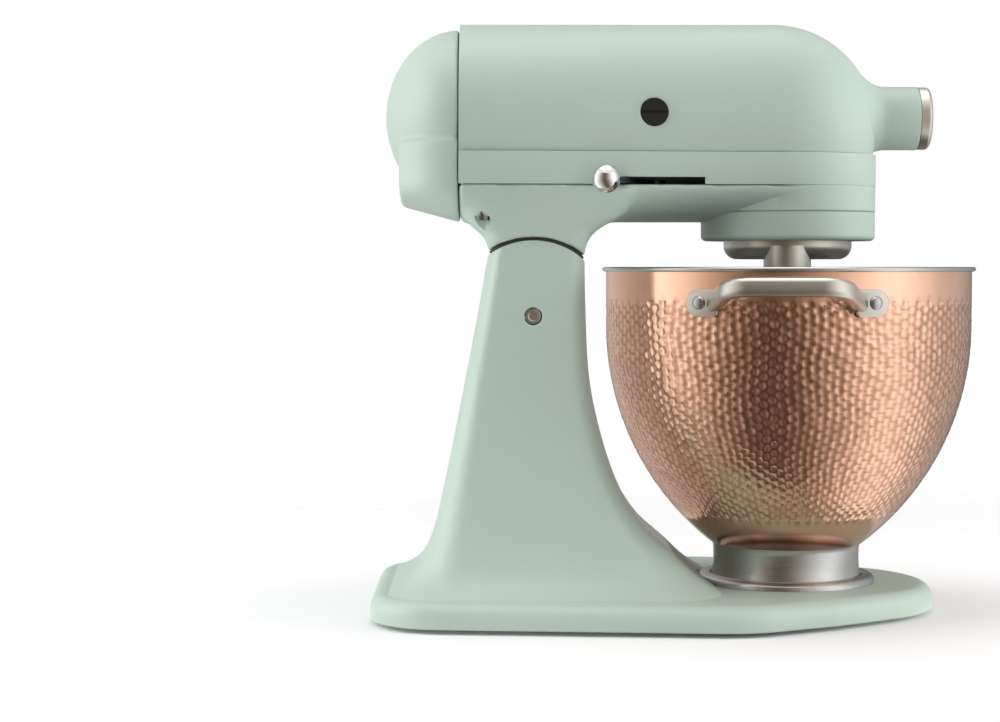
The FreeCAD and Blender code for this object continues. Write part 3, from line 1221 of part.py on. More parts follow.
def make_worm_wheel():
    """The worm wheel and the drive pinion on their upright shaft."""
    at = (val(WHEEL_X), val("wheel_y"))
    module, pitch, lead = worm_sizes()
    points = gear_outline(int(val("wheel_teeth")), pitch, module * 0.7, module * 1.0, slim(0.46), -math.pi / 2)
    width = val("wheel_width")
    twist = lead / (2 * math.pi * val("worm_radius")) * width / 2 / pitch
    wires = [outline_wire(points, 1, sign * twist, sign * width / 2) for sign in (-1, 1)]
    wheel = Part.makeLoft(wires, True, True)
    wheel.translate(Vec(at[0], at[1], val("hub_z")))
    wheel = wheel.cut(bar(val("wheel_shaft_radius"), 0, 500, "z", at))
    node(feature("worm_gear", wheel), "worm_wheel")
    tooth, teeth = val("drive_module"), int(val("drive_teeth"))
    facing = math.atan2(-at[1], -at[0]) + math.pi / teeth
    points = gear_outline(teeth, tooth * teeth / 2, tooth * 0.85, tooth * 1.1, slim(), facing)
    pinion = gear_prism(points, val("centre_gear_z"), val("gear_width"), at)
    pinion = pinion.cut(bar(val("wheel_shaft_radius"), 0, 500, "z", at))
    node(feature("drive_gear", pinion), "drive_pinion")
    return node(rod("wheel_rod", "wheel_shaft_radius", (f"{CHAMBER_FLOOR} - 1", "hub_z + wheel_width / 2 + 2"),
                    at=(WHEEL_X, "wheel_y")), "worm_wheel_shaft")


def make_gear_bracket():
    """The bracket over the gears: upper bushes, posts and the front motor bearing."""
    low, thick, floor = val("bracket_z"), val("bracket_thick"), val(CHAMBER_FLOOR)
    wheel = (val(WHEEL_X), val("wheel_y"))
    solids = [bar(val("wheel_shaft_radius") * 2, low, low + thick, "z", wheel)]
    for angle in (60, 300, 190):
        turn = math.radians(angle)
        at = (val("post_ring") * math.cos(turn), val("post_ring") * math.sin(turn))
        solids.append(bar(val("post_radius"), floor, low + thick, "z", at))
    x, width, radius = val("front_bearing_x"), val("bearing_width"), val("bearing_radius")
    wall = val("bush_wall")
    solids.append(Part.makeBox(width, 2 * radius + wall * 1.7, val("hub_z") + radius + wall - low,
                               Vec(x - width / 2, -radius - wall, low)))
    solid = bar(val("post_ring"), low, low + thick, "z", (0, 0)).fuse(solids)
    fit = val("hinge_fit + bush_wall")
    node(feature("bracket", solid.cut([
        bar(val("centre_shaft_radius") + fit, low - 1, low + thick + 1, "z", (0, 0)),
        bar(val("wheel_shaft_radius") + fit, low - 1, low + thick + 1, "z", wheel),
        bar(radius, x - width, x + width, "x", (0, val("hub_z"))),
    ])), "gear_bracket")
    rings = (
        ("centre_low", "centre_shaft_radius", ("collar_split", CHAMBER_FLOOR), "z", ("0", "0")),
        ("centre_high", "centre_shaft_radius", ("bracket_z", "bracket_z + bracket_thick"), "z", ("0", "0")),
        ("wheel_low", "wheel_shaft_radius", (f"{CHAMBER_FLOOR} - 1", f"{CHAMBER_FLOOR} + case_floor"), "z",
         (WHEEL_X, "wheel_y")),
        ("wheel_high", "wheel_shaft_radius", ("bracket_z", "bracket_z + bracket_thick"), "z", (WHEEL_X, "wheel_y")),
        ("hub_front", "hub_shaft_radius", ("hub_root_x", "hub_web_x"), "x", ("0", "hub_z")),
    )
    bushes = []
    for name, radius, span, axis, at in rings:
        wall = "bush_wall" if name == "hub_front" else "hinge_fit + bush_wall"
        outer = rod(f"{name}_bush", f"{radius} + {wall}", span, axis, at)
        inner = rod(f"{name}_bore", f"{radius} + hinge_fit", (f"{span[0]} - 1", f"{span[1]} + 1"), axis, at)
        bushes.append(cut(f"{name}_ring", outer, [inner]))
    return node(group("bushes", bushes), "shaft_bushes")


# Motor

STATOR = ("stator_front_x - stator_length", "stator_front_x")
MOTOR_AT = ("0", "hub_z")


def make_armature():
    """The motor's turning parts: shaft with worm, core, commutator and fan."""
    module, pitch, lead = worm_sizes()
    root, tip = val("worm_radius") - module * 0.85, val("worm_radius") + module * 0.7
    turns = 3
    half_root, half_tip = lead * 0.27, lead * 0.13
    helix = Part.makeHelix(lead, lead * turns, root)
    corners = [Vec(root - 0.4, 0, -half_root), Vec(tip, 0, -half_tip), Vec(tip, 0, half_tip),
               Vec(root - 0.4, 0, half_root)]
    thread = Part.Wire(helix.Edges).makePipeShell([Part.makePolygon(corners + corners[:1])], True, True)
    start = val(WHEEL_X) + lead / 4 - 2 * lead
    thread.Placement = FreeCAD.Placement(Vec(start, 0, val("hub_z")), ALONG["x"])
    back = val("rear_bearing_x - bearing_width / 2 - 1")
    front = val("front_bearing_x + bearing_width / 2")
    shaft = bar(val("motor_shaft_radius"), back, front, "x", (0, val("hub_z")))
    core = bar(root, start - half_root, start + lead * turns + half_root, "x", (0, val("hub_z")))
    node(feature("motor_shaft", shaft.fuse(core).fuse(thread)), "armature_shaft")
    outer = rod("core_outer", "stator_bore - armature_gap", STATOR, "x", MOTOR_AT)
    hole = rod("core_hole", "motor_shaft_radius", ("stator_front_x - stator_length - 1", "stator_front_x + 1"), "x",
               MOTOR_AT)
    node(cut("core", outer, [hole]), "armature_core")
    span = ("brush_x - commutator_length / 2", "brush_x + commutator_length / 2")
    drum = rod("drum", "commutator_radius", span, "x", MOTOR_AT)
    drum_hole = rod("drum_hole", "motor_shaft_radius", ("brush_x - 40", "brush_x + 40"), "x", MOTOR_AT)
    node(cut("drum_ring", drum, [drum_hole]), "commutator")
    x, radius, width, z = val("fan_x"), val("fan_radius"), val("fan_width"), val("hub_z")
    sheet, hub, low = val("fan_sheet"), val("motor_shaft_radius + fan_hub_wall"), val("motor_shaft_radius + fan_edge")
    solid = bar(radius, x, x + sheet, "x", (0, z)).fuse(bar(hub, x, x + width, "x", (0, z)))
    for i in range(8):
        blade = Part.makeBox(width, sheet, radius - val("fan_edge") - low, Vec(x, -sheet / 2, z + low))
        blade.rotate(Vec(x, 0, z), Vec(1, 0, 0), 45 * i)
        solid = solid.fuse(blade)
    solid = solid.cut(bar(val("motor_shaft_radius"), x - 1, x + width + 1, "x", (0, z)))
    return node(feature("fan", solid), "cooling_fan")


def make_motor():
    """The motor's fixed parts: stator, coils, bearings, brushes and control plate."""
    core = rod("stack", "stator_radius", STATOR, "x", MOTOR_AT)
    bore = rod("stack_bore", "stator_bore", ("stator_front_x - stator_length - 1", "stator_front_x + 1"), "x", MOTOR_AT)
    node(cut("stator", core, [bore]), "stator_core")
    coils = []
    for i, span in enumerate((("stator_front_x", "stator_front_x + coil_length"),
                              ("stator_front_x - stator_length - coil_length", "stator_front_x - stator_length"))):
        outer = rod(f"coil_{i}", "stator_radius - coil_length", span, "x", MOTOR_AT)
        inner = rod(f"coil_bore_{i}", "stator_bore + armature_gap", (f"{span[0]} - 1", f"{span[1]} + 1"), "x", MOTOR_AT)
        coils.append(cut(f"coil_ring_{i}", outer, [inner]))
    node(group("coils", coils), "field_coils")
    bearings = []
    for name in ("front", "rear"):
        span = (f"{name}_bearing_x - bearing_width / 2", f"{name}_bearing_x + bearing_width / 2")
        outer = rod(f"{name}_race", "bearing_radius", span, "x", MOTOR_AT)
        inner = rod(f"{name}_race_bore", "motor_shaft_radius + hinge_fit", (f"{span[0]} - 1", f"{span[1]} + 1"), "x",
                    MOTOR_AT)
        bearings.append(cut(f"{name}_bearing", outer, [inner]))
    node(group("bearings", bearings), "motor_bearings")
    x, width, z = val("rear_bearing_x"), val("bearing_width"), val("hub_z")
    bar_half = val("bearing_radius + bracket_rim")
    reach = val("head_rear_half")
    beam = Part.makeBox(width, 2 * reach, 2 * bar_half, Vec(x - width / 2, -reach, z - bar_half)).common(head_room()[0])
    node(feature("rear_beam", beam.cut(bar(val("bearing_radius"), x - width, x + width, "x", (0, z)))),
         "rear_bearing_bracket")
    back = "rear_bearing_x - bearing_width / 2"
    plate = block("board_plate", (f"{back} - plate_stand", f"{back} - plate_stand + 2"), ("-32", "32"),
                  ("hub_z - 16", "hub_z + 16"))
    legs = [rod(f"board_leg_{i}", "screw_head", (f"{back} - plate_stand", back), "x", (y, "hub_z"))
            for i, y in enumerate(("-26", "26"))]
    node(fuse("board_mount", [plate] + legs), "control_plate")
    node(block("board", (f"{back} - plate_stand - 1.6", f"{back} - plate_stand"), ("8", "30"),
               ("hub_z - 13", "hub_z + 13")), "speed_board")
    face = f"{brush_face():.4f}"
    brushes, holders, caps = [], [], []
    for i, sign in enumerate((-1, 1)):
        def span(low, high):
            return (low, high) if sign > 0 else (f"-({high})", f"-({low})")
        at = ("brush_x", "hub_z")
        inner_end, outer_end = "commutator_radius + 1", f"{face} - head_wall"
        tube = rod(f"holder_{i}", "brush_cap_radius - 1", span(inner_end, outer_end), "y", at)
        hole = rod(f"holder_bore_{i}", "brush_cap_radius - 3", span("0", f"{face} + 9"), "y", at)
        holders.append(cut(f"holder_tube_{i}", tube, [hole]))
        brushes.append(block(f"carbon_{i}", ("brush_x - 3.4", "brush_x + 3.4"),
                             span("commutator_radius + brush_gap", "commutator_radius + 20"),
                             ("hub_z - 3.4", "hub_z + 3.4")))
        cap = rod(f"cap_{i}", "brush_cap_radius", span(outer_end, f"{face} + 0.9"), "y", at)
        slot = block(f"cap_slot_{i}", ("brush_x - brush_cap_radius", "brush_x + brush_cap_radius"),
                     span(f"{face} - 0.6", f"{face} + 3"), ("hub_z - 0.8", "hub_z + 0.8"))
        caps.append(cut(f"brush_cap_{i}", cap, [slot]))
    node(group("brush_tubes", holders), "brush_holders")
    node(group("carbons", brushes), "carbon_brushes")
    node(group("brush_plugs", caps), "brush_caps")
    screws = []
    for i, y in enumerate(("-neck_screw_y", "neck_screw_y")):
        screws.append(screw(f"neck_screw_{i}", "neck_screw_z", "band_bottom", at=("neck_screw_x", y)))
    return node(group("neck_screws", screws), "case_screws")


# Levers, cap and thumb screw

def make_lever(name, sign):
    """A lever on an upright pivot, with its ball knob, swung to one end of its slot."""
    length = f"(abs({name}_ball_y - {name}_pivot_y)) / cos({name}_swing / 2)"

    def span(low, high):
        return (low, high) if sign > 0 else (f"-({high})", f"-({low})")

    def swung(obj):
        obj.Placement = FreeCAD.Placement(Vec(0, 0, 0), FreeCAD.Rotation(Vec(0, 0, sign), val(f"{name}_swing") / 2))
        obj.setExpression(".Placement.Base.x", bound(f"{name}_pivot_x"))
        obj.setExpression(".Placement.Base.y", bound(f"{name}_pivot_y"))
        obj.setExpression(".Placement.Base.z", bound("lever_z"))
        obj.setExpression(".Placement.Rotation.Angle", bound(f"{name}_swing / 2"))
        return obj

    thick = ("-lever_thick / 2", "lever_thick / 2")
    inner = f"{length} - lever_ball"
    arm = block(f"{name}_arm", ("-lever_wide / 2", "lever_wide / 2"), span("0", f"{inner} - lever_wide"), thick)
    stem = rod(f"{name}_stem", "lever_thick / 2", span(f"{inner} - 2 * lever_wide", length), "y", ("0", "0"))
    hub = rod(f"{name}_hub", "lever_wide + 1", thick)
    pieces = [arm, stem, hub]
    if name == "lock":
        pieces.append(rod("lock_rod", "lock_shaft", ("hinge_z + knuckle_radius + knuckle_gap - lever_z", "0")))
        solid = fuse(f"{name}_lever_solid", pieces)
    else:
        hole = rod(f"{name}_pivot_hole", "pivot_pin + hinge_fit", ("-lever_thick", "lever_thick"))
        solid = cut(f"{name}_lever_solid", fuse(f"{name}_lever_body", pieces), [hole])
    node(swung(solid), f"{name}_lever")
    knob = ball(f"{name}_ball", "lever_ball", "0", f"{sign} * ({length})", "0")
    socket = rod(f"{name}_socket", "lever_thick / 2", span(f"{inner} - 5", length), "y", ("0", "0"))
    return node(swung(cut(f"{name}_knob_solid", knob, [socket])), f"{name}_knob")


def make_hub_cap():
    """The cap over the power hub, with its plug in the hub's socket."""
    plug = "socket_radius - cap_fit"
    return node(turned("cap", (
        ("0", "-cap_plug"), (plug, "-cap_plug"), (plug, "0"), ("cap_radius", "0"),
        ("cap_radius", "cap_thick - cap_round", "cap_round"), ("cap_radius - cap_round", "cap_thick"),
        ("0", "cap_thick")), "x", ("0", "hub_z"), "hub_end_x"), "hub_cap")


def make_hub_knob():
    """The thumb screw that holds an attachment in the hub."""
    start = "hub_radius + knob_shank"
    shank = rod("knob_rod", "knob_shank", ("socket_radius + cap_fit", f"{start} + 1"), "y", ("knob_x", "hub_z"))
    grip = rod("knob_grip", "knob_radius", (start, f"{start} + knob_length"), "y", ("knob_x", "hub_z"))
    flutes = []
    for i in range(10):
        turn = math.radians(36 * i)
        flutes.append(rod(f"knob_flute_{i}", "knob_radius / 5", (f"{start} - 1", f"{start} + knob_length + 1"), "y",
                          (f"knob_x + knob_radius * {1.08 * math.cos(turn):.5f}",
                           f"hub_z + knob_radius * {1.08 * math.sin(turn):.5f}")))
    return node(cut("knob", fuse("knob_solid", [shank, grip]), flutes), "hub_knob")


def main():
    """Build every sub-part, check it and write it."""
    for make in (make_base, make_feet, make_column, make_clamp_plate, make_hinge_pin, make_bowl, make_handle,
                 make_motor_housing, make_trim_band, make_gear_case, make_rear_cover, make_drip_ring,
                 make_ring_gear, make_planetary, make_hub_drive, make_beater_shaft, make_worm_wheel,
                 make_gear_bracket, make_armature, make_motor, make_hub_cap, make_hub_knob):
        make()
    for name, sign in LEVER_SIDES:
        make_lever(name, sign)
    doc.recompute()
    for obj in doc.Objects:
        faults = [state for state in obj.State if state in ("Invalid", "Error")]
        if faults:
            raise RuntimeError(f"{obj.Name} did not build: {faults}")
    for obj in NODES:
        if obj.Shape.isNull() or not obj.Shape.isValid() or not obj.Shape.Solids:
            raise RuntimeError(f"{obj.Label} is not a sound solid")
    os.makedirs("parts", exist_ok=True)
    for obj in NODES:
        obj.Shape.exportStep(f"parts/{obj.Label}.step")


main()
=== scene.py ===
"""Looks of a tilt-head stand mixer with a hammered copper bowl."""

import math
import random

import bmesh
import bpy
from bpy.props import FloatProperty, FloatVectorProperty, IntProperty, PointerProperty
from bpy.types import Operator, Panel, PropertyGroup
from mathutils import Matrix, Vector


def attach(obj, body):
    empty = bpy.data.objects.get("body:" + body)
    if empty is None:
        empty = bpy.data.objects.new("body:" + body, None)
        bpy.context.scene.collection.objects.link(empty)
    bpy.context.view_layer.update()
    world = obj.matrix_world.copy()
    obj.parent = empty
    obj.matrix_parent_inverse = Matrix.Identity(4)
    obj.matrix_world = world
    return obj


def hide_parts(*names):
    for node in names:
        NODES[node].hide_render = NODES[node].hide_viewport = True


bl_info = {
    "name": "Stand mixer looks",
    "version": (1, 0, 0),
    "blender": (4, 5, 0),
    "location": "3D View > Sidebar > Mixer",
    "description": "Models and finishes the outside of a tilt-head stand mixer",
    "category": "Object",
}

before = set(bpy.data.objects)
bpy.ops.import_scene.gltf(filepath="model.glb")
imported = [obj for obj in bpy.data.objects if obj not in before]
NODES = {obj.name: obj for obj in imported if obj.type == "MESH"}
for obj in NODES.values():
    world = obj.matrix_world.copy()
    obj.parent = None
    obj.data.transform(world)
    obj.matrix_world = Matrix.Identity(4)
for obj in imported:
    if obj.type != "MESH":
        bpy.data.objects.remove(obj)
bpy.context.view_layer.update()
MM = 0.001


# Modelling by hand

def mm(*numbers):
    """A place or size written in millimetres."""
    return Vector([n * MM for n in numbers])


def even(first, last, count):
    """Evenly spaced numbers, both ends included."""
    return [first + (last - first) * i / count for i in range(count + 1)]


def clear_selection():
    """Leaves edit mode with nothing selected."""
    if bpy.context.object and bpy.context.object.mode != "OBJECT":
        bpy.ops.object.mode_set(mode="OBJECT")
    bpy.ops.object.select_all(action="DESELECT")


def take(obj):
    """Makes one piece the only selected one."""
    clear_selection()
    obj.select_set(True)
    bpy.context.view_layer.objects.active = obj


def joined(pieces):
    """Makes several pieces one."""
    clear_selection()
    for piece in pieces:
        piece.select_set(True)
    bpy.context.view_layer.objects.active = pieces[0]
    bpy.ops.object.join()
    return pieces[0]


def settle(obj):
    """Moves a piece's place, turn and size into its mesh."""
    take(obj)
    bpy.ops.object.transform_apply(location=True, rotation=True, scale=True)
    return obj


def start(kind, scale=(1, 1, 1), **options):
    """Adds a primitive and opens it for editing, all of it selected."""
    clear_selection()
    getattr(bpy.ops.mesh, f"primitive_{kind}_add")(**options)
    obj = bpy.context.object
    obj.scale = scale
    settle(obj)
    bpy.ops.object.mode_set(mode="EDIT")
    bpy.ops.mesh.select_mode(type="VERT")
    select_all()
    return obj


def close():
    """Leaves edit mode."""
    bpy.ops.object.mode_set(mode="OBJECT")


def primitive(kind, scale=(1, 1, 1), **options):
    """Adds a primitive that needs no editing."""
    obj = start(kind, scale, **options)
    close()
    return obj


def select_all():
    """Selects all of the open mesh."""
    bpy.ops.mesh.select_all(action="SELECT")


def extrude(move):
    """Draws what is selected out by a vector."""
    bpy.ops.mesh.extrude_region_move(TRANSFORM_OT_translate={"value": move})


def pick(obj, test, kind="VERT"):
    """Selects the points, edges or faces whose middle passes a test."""
    bpy.ops.mesh.select_mode(type=kind)
    bpy.ops.mesh.select_all(action="DESELECT")
    mesh = bmesh.from_edit_mesh(obj.data)
    if kind == "VERT":
        found = [v for v in mesh.verts if test(v.co)]
    elif kind == "EDGE":
        found = [e for e in mesh.edges if test((e.verts[0].co + e.verts[1].co) / 2)]
    else:
        found = [f for f in mesh.faces if test(f.calc_center_median())]
    for item in found:
        item.select_set(True)
    mesh.select_flush_mode()
    bmesh.update_edit_mesh(obj.data)


def modify(obj, kind, **settings):
    """Adds a modifier and applies it."""
    take(obj)
    modifier = obj.modifiers.new(kind.title(), kind)
    for name, value in settings.items():
        setattr(modifier, name, value)
    bpy.ops.object.modifier_apply(modifier=modifier.name)


def soften(obj, width, angle=50):
    """Rounds the edges of a piece that are sharper than an angle."""
    modify(obj, "BEVEL", width=width * MM, segments=3, limit_method="ANGLE",
           angle_limit=math.radians(angle), use_clamp_overlap=True)


def thicken(obj, wall):
    """Gives an open skin a wall on its inside."""
    modify(obj, "SOLIDIFY", thickness=wall * MM, offset=-1, use_even_offset=True)


def carve(obj, tool, operation="DIFFERENCE"):
    """Cuts a piece with a tool and removes the tool."""
    modify(obj, "BOOLEAN", object=tool, operation=operation, solver="EXACT")
    bpy.data.objects.remove(tool)


def outward():
    """Merges doubles and turns the faces of the open mesh outwards."""
    select_all()
    bpy.ops.mesh.remove_doubles(threshold=1e-6)
    bpy.ops.mesh.normals_make_consistent(inside=False)


def trace(points):
    """Draws a line from point to point, one extrusion at a time."""
    obj = start("plane", size=MM)
    bpy.ops.mesh.merge(type="CENTER")
    bpy.ops.transform.translate(value=points[0])
    for here, there in zip(points, points[1:]):
        bpy.ops.mesh.extrude_vertices_move(TRANSFORM_OT_translate={"value": there - here})
    return obj


def lathe(outline, steps, axis="z", centre=(0, 0, 0)):
    """Turns an outline of radius and height round an axis, in millimetres."""
    middle = mm(*centre)
    way = {"x": Vector((1, 0, 0)), "y": Vector((0, 1, 0)), "z": Vector((0, 0, 1))}[axis]
    side = Vector((1, 0, 0)) if axis == "z" else Vector((0, 0, 1))
    obj = trace([middle + side * (r * MM) + way * (h * MM) for r, h in outline])
    select_all()
    bpy.ops.mesh.spin(steps=steps, angle=2 * math.pi, center=middle, axis=way)
    outward()
    close()
    return obj


def along(steps, kind="region"):
    """Extrudes what is selected from station to station along X, resizing it across."""
    draw = getattr(bpy.ops.mesh, f"extrude_{kind}_move")
    for (x0, half0), (x1, half1) in zip(steps, steps[1:]):
        draw(TRANSFORM_OT_translate={"value": mm(x1 - x0, 0, 0)})
        bpy.ops.transform.resize(value=(1, half1 / half0, 1), center_override=mm(x1, 0, 0))


def finish(obj, name, body, finish_name, nodes=(), angle=32):
    """Smooths a piece, paints it and hangs it on its body."""
    settle(obj)
    bpy.ops.object.shade_smooth_by_angle(angle=math.radians(angle))
    obj.name = name
    obj.data.name = name
    paint(obj, finish_name)
    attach(obj, body)
    if nodes:
        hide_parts(*nodes)


def paint(obj, finish_name):
    """Gives a piece one of the mixer's finishes."""
    obj.data.materials.clear()
    obj.data.materials.append(bpy.data.materials[finish_name])


# Effects that several finishes share

def make_group(name, inputs, outputs):
    """An empty shader group with named sockets."""
    group = bpy.data.node_groups.new(name, "ShaderNodeTree")
    for label, kind, default in inputs:
        socket = group.interface.new_socket(label, in_out="INPUT", socket_type=f"NodeSocket{kind}")
        socket.default_value = default
    for label, kind in outputs:
        group.interface.new_socket(label, in_out="OUTPUT", socket_type=f"NodeSocket{kind}")
    return group, group.nodes.new("NodeGroupInput"), group.nodes.new("NodeGroupOutput")


def add(tree, kind, **settings):
    """A shader node with its settings."""
    node = tree.nodes.new(f"ShaderNode{kind}")
    for name, value in settings.items():
        if name.startswith("in_"):
            node.inputs[name[3:].replace("_", " ").title()].default_value = value
        else:
            setattr(node, name, value)
    return node


def join(tree, source, socket, target, place):
    """Links two nodes by the names or numbers of their sockets."""
    tree.links.new(source.outputs[socket], target.inputs[place])


def chain(tree, *nodes):
    """Links nodes in a row, first socket to first socket."""
    for source, target in zip(nodes, nodes[1:]):
        join(tree, source, 0, target, 0)


def new_material(name):
    """A material and its node tree."""
    mat = bpy.data.materials.new(name)
    mat.use_nodes = True
    return mat, mat.node_tree


def spread_value(group, ins, outs, noise):
    """Leads a noise out as a height, and as a value spread about a middle."""
    lift = add(group, "Math", operation="SUBTRACT")
    lift.inputs[1].default_value = 0.5
    scale = add(group, "Math", operation="MULTIPLY")
    total = add(group, "Math", operation="ADD")
    chain(group, noise, lift, scale, total)
    join(group, ins, "Spread", scale, 1)
    join(group, ins, "Middle", total, 1)
    join(group, noise, 0, outs, "Height")
    join(group, total, 0, outs, "Value")


def grain_group():
    """Fine, even grain: a height for the bump and a value about a middle."""
    group, ins, outs = make_group(
        "Fine grain", (("Scale", "Float", 900.0), ("Middle", "Float", 0.4), ("Spread", "Float", 0.1)),
        (("Height", "Float"), ("Value", "Float")))
    place = add(group, "TexCoord")
    noise = add(group, "TexNoise", in_detail=3.0, in_roughness=0.55)
    join(group, place, "Object", noise, "Vector")
    join(group, ins, "Scale", noise, "Scale")
    spread_value(group, ins, outs, noise)
    return group


def mottle_group():
    """Slow drift between two close colours."""
    group, ins, outs = make_group(
        "Soft mottling", (("Scale", "Float", 8.0), ("First", "Color", (1, 1, 1, 1)),
                          ("Second", "Color", (0.9, 0.9, 0.9, 1))),
        (("Color", "Color"),))
    place = add(group, "TexCoord")
    noise = add(group, "TexNoise", in_detail=4.0, in_roughness=0.6)
    ramp = add(group, "MapRange", in_from_min=0.35, in_from_max=0.65)
    mix = add(group, "Mix", data_type="RGBA")
    join(group, place, "Object", noise, "Vector")
    join(group, ins, "Scale", noise, "Scale")
    join(group, noise, 0, ramp, 0)
    join(group, ramp, 0, mix, "Factor")
    group.links.new(ins.outputs["First"], mix.inputs[6])
    group.links.new(ins.outputs["Second"], mix.inputs[7])
    group.links.new(mix.outputs[2], outs.inputs["Color"])
    return group


def brushed_group():
    """Fine lines, drawn out where the scale is small, as brushing leaves them."""
    group, ins, outs = make_group(
        "Brushed lines", (("Stretch", "Vector", (40.0, 40.0, 2500.0)), ("Middle", "Float", 0.3),
                          ("Spread", "Float", 0.15)),
        (("Height", "Float"), ("Value", "Float")))
    place = add(group, "TexCoord")
    squeeze = add(group, "VectorMath", operation="MULTIPLY")
    noise = add(group, "TexNoise", in_scale=1.0, in_detail=2.0)
    join(group, place, "Object", squeeze, 0)
    join(group, ins, "Stretch", squeeze, 1)
    join(group, squeeze, 0, noise, "Vector")
    spread_value(group, ins, outs, noise)
    return group


def finish_base(name, groups, metallic, pair, drift, bump, texture):
    """A finish: two close colours, and a texture for its roughness and relief."""
    _, tree = new_material(name)
    shader = tree.nodes["Principled BSDF"]
    shader.inputs["Metallic"].default_value = metallic
    colour = add(tree, "Group", node_tree=groups["Soft mottling"], in_scale=drift,
                 in_first=(*pair[0], 1), in_second=(*pair[1], 1))
    join(tree, colour, "Color", shader, "Base Color")
    kind, settings = texture
    relief = add(tree, "Group", node_tree=groups[kind])
    for label, value in settings.items():
        relief.inputs[label].default_value = value
    join(tree, relief, "Value", shader, "Roughness")
    strength, distance = bump
    lift = add(tree, "Bump", in_strength=strength, in_distance=distance * MM)
    join(tree, relief, "Height", lift, "Height")
    join(tree, lift, "Normal", shader, "Normal")
    return tree


def grain(scale, middle, spread):
    """Settings of the fine grain."""
    return "Fine grain", {"Scale": scale, "Middle": middle, "Spread": spread}


def brushed(stretch, middle, spread):
    """Settings of the brushed lines."""
    return "Brushed lines", {"Stretch": stretch, "Middle": middle, "Spread": spread}


def shade(colour, share):
    """A colour made darker or lighter."""
    return tuple(min(1.0, c * share) for c in colour)


# What a user would change

class MixerColours(PropertyGroup):
    """Colours of the mixer's finishes."""
    enamel: FloatVectorProperty(name="Enamel", description="Paint of the castings", subtype="COLOR",
                                min=0, max=1, default=(0.47, 0.575, 0.50))
    copper: FloatVectorProperty(name="Copper", description="Bowl outside", subtype="COLOR",
                                min=0, max=1, default=(0.87, 0.53, 0.385))
    nickel: FloatVectorProperty(name="Nickel", description="Handle and planetary", subtype="COLOR",
                                min=0, max=1, default=(0.60, 0.57, 0.51))


class MixerSizes(PropertyGroup):
    """Sizes of the modelled detail."""
    dent_columns: IntProperty(name="Dent columns", description="Hammer marks round the bowl, an even number",
                              default=140, min=20, step=2)
    dent_rows: IntProperty(name="Dent rows", description="Rows of hammer marks", default=26, min=2)
    dent_depth: FloatProperty(name="Dent depth", description="Depth of a hammer mark", unit="LENGTH",
                              default=0.00072, min=0)
    seam_edge: FloatProperty(name="Seam edge", description="Rounding of casting edges, in mm",
                             default=0.9, min=0)


# Head

NOSE_X, NOSE_REACH, FRONT_HALF, REAR_HALF, SEAM_X = -10.0, 62.5, 54.0, 68.0, -198.0
AXIS_Z, RISE, BAND_TOP, BAND_LOW, HUB_Z = 290.0, 63.0, 274.5, 255.5, 297.0
SEAM_GAP, BAND_GAP, HAIR = 0.3, 0.1, 0.01
HEAD_END, HEAD_COUNT = SEAM_X + SEAM_GAP, 40
TROUGH = 21.0
BRUSH_X, BRUSH_R = -84.7, 8.3
SOCKET_X, SOCKET_R, SOCKET_DEPTH = 50.0, 15.9, 24.0
LEVER_SLOTS = ((-82, -68, 54), (-160, 68, 36))
SLOT_Z, SLOT_TALL, SLOT_DEEP = 256.6, 6.2, 40.0
COLLAR_R, COLLAR_LOW, COLLAR_TOP = 52.3, 240.2, 255.4
COLLAR_EDGE, COLLAR_GAP, COLLAR_CUT = 0.7, 0.3, 30.0
SCREW_X, SCREW_Y, SCREW_Z, SCREW_R, SCREW_CUT = -184.0, 57.5, 217.0, 4.6, 40.0
DOME_RISE, DOME_REACH = 52.5, 44.4
SKIRT_RISE, SKIRT_REACH, SKIRT_COUNT, SKIRT_END, SKIRT_LIFT = 25.5, 35.0, 14, 45.0, 9.5
ACROSS = 120.0
SIDEWAYS = (0, math.pi / 2, 0)
HUB_OUTLINE = ((29.5, 38.5), (27.2, 42), (24.8, 45), (22.6, 47.6), (20.9, 50.2), (19.7, 53), (19.1, 56),
               (19, 59), (19, 77.3), (16.2, 77.3), (16.0, 50.5), (10.4, 50.5), (10.4, 44))


def head_half(x):
    """Half width of the head at a station."""
    share = min(max((NOSE_X - x) / (NOSE_X - SEAM_X), 0), 1)
    return FRONT_HALF + (REAR_HALF - FRONT_HALF) * (1 - math.cos(math.pi * share)) / 2


def head_steps(first, last, count):
    """Stations along the head with their half widths."""
    return [(x, head_half(x)) for x in even(first, last, count)]


def open_front(obj):
    """Keeps the front half of a rounded nose and selects its open end."""
    pick(obj, lambda p: p.x < (NOSE_X - HAIR) * MM)
    bpy.ops.mesh.delete(type="VERT")
    pick(obj, lambda p: p.x < (NOSE_X + HAIR) * MM)


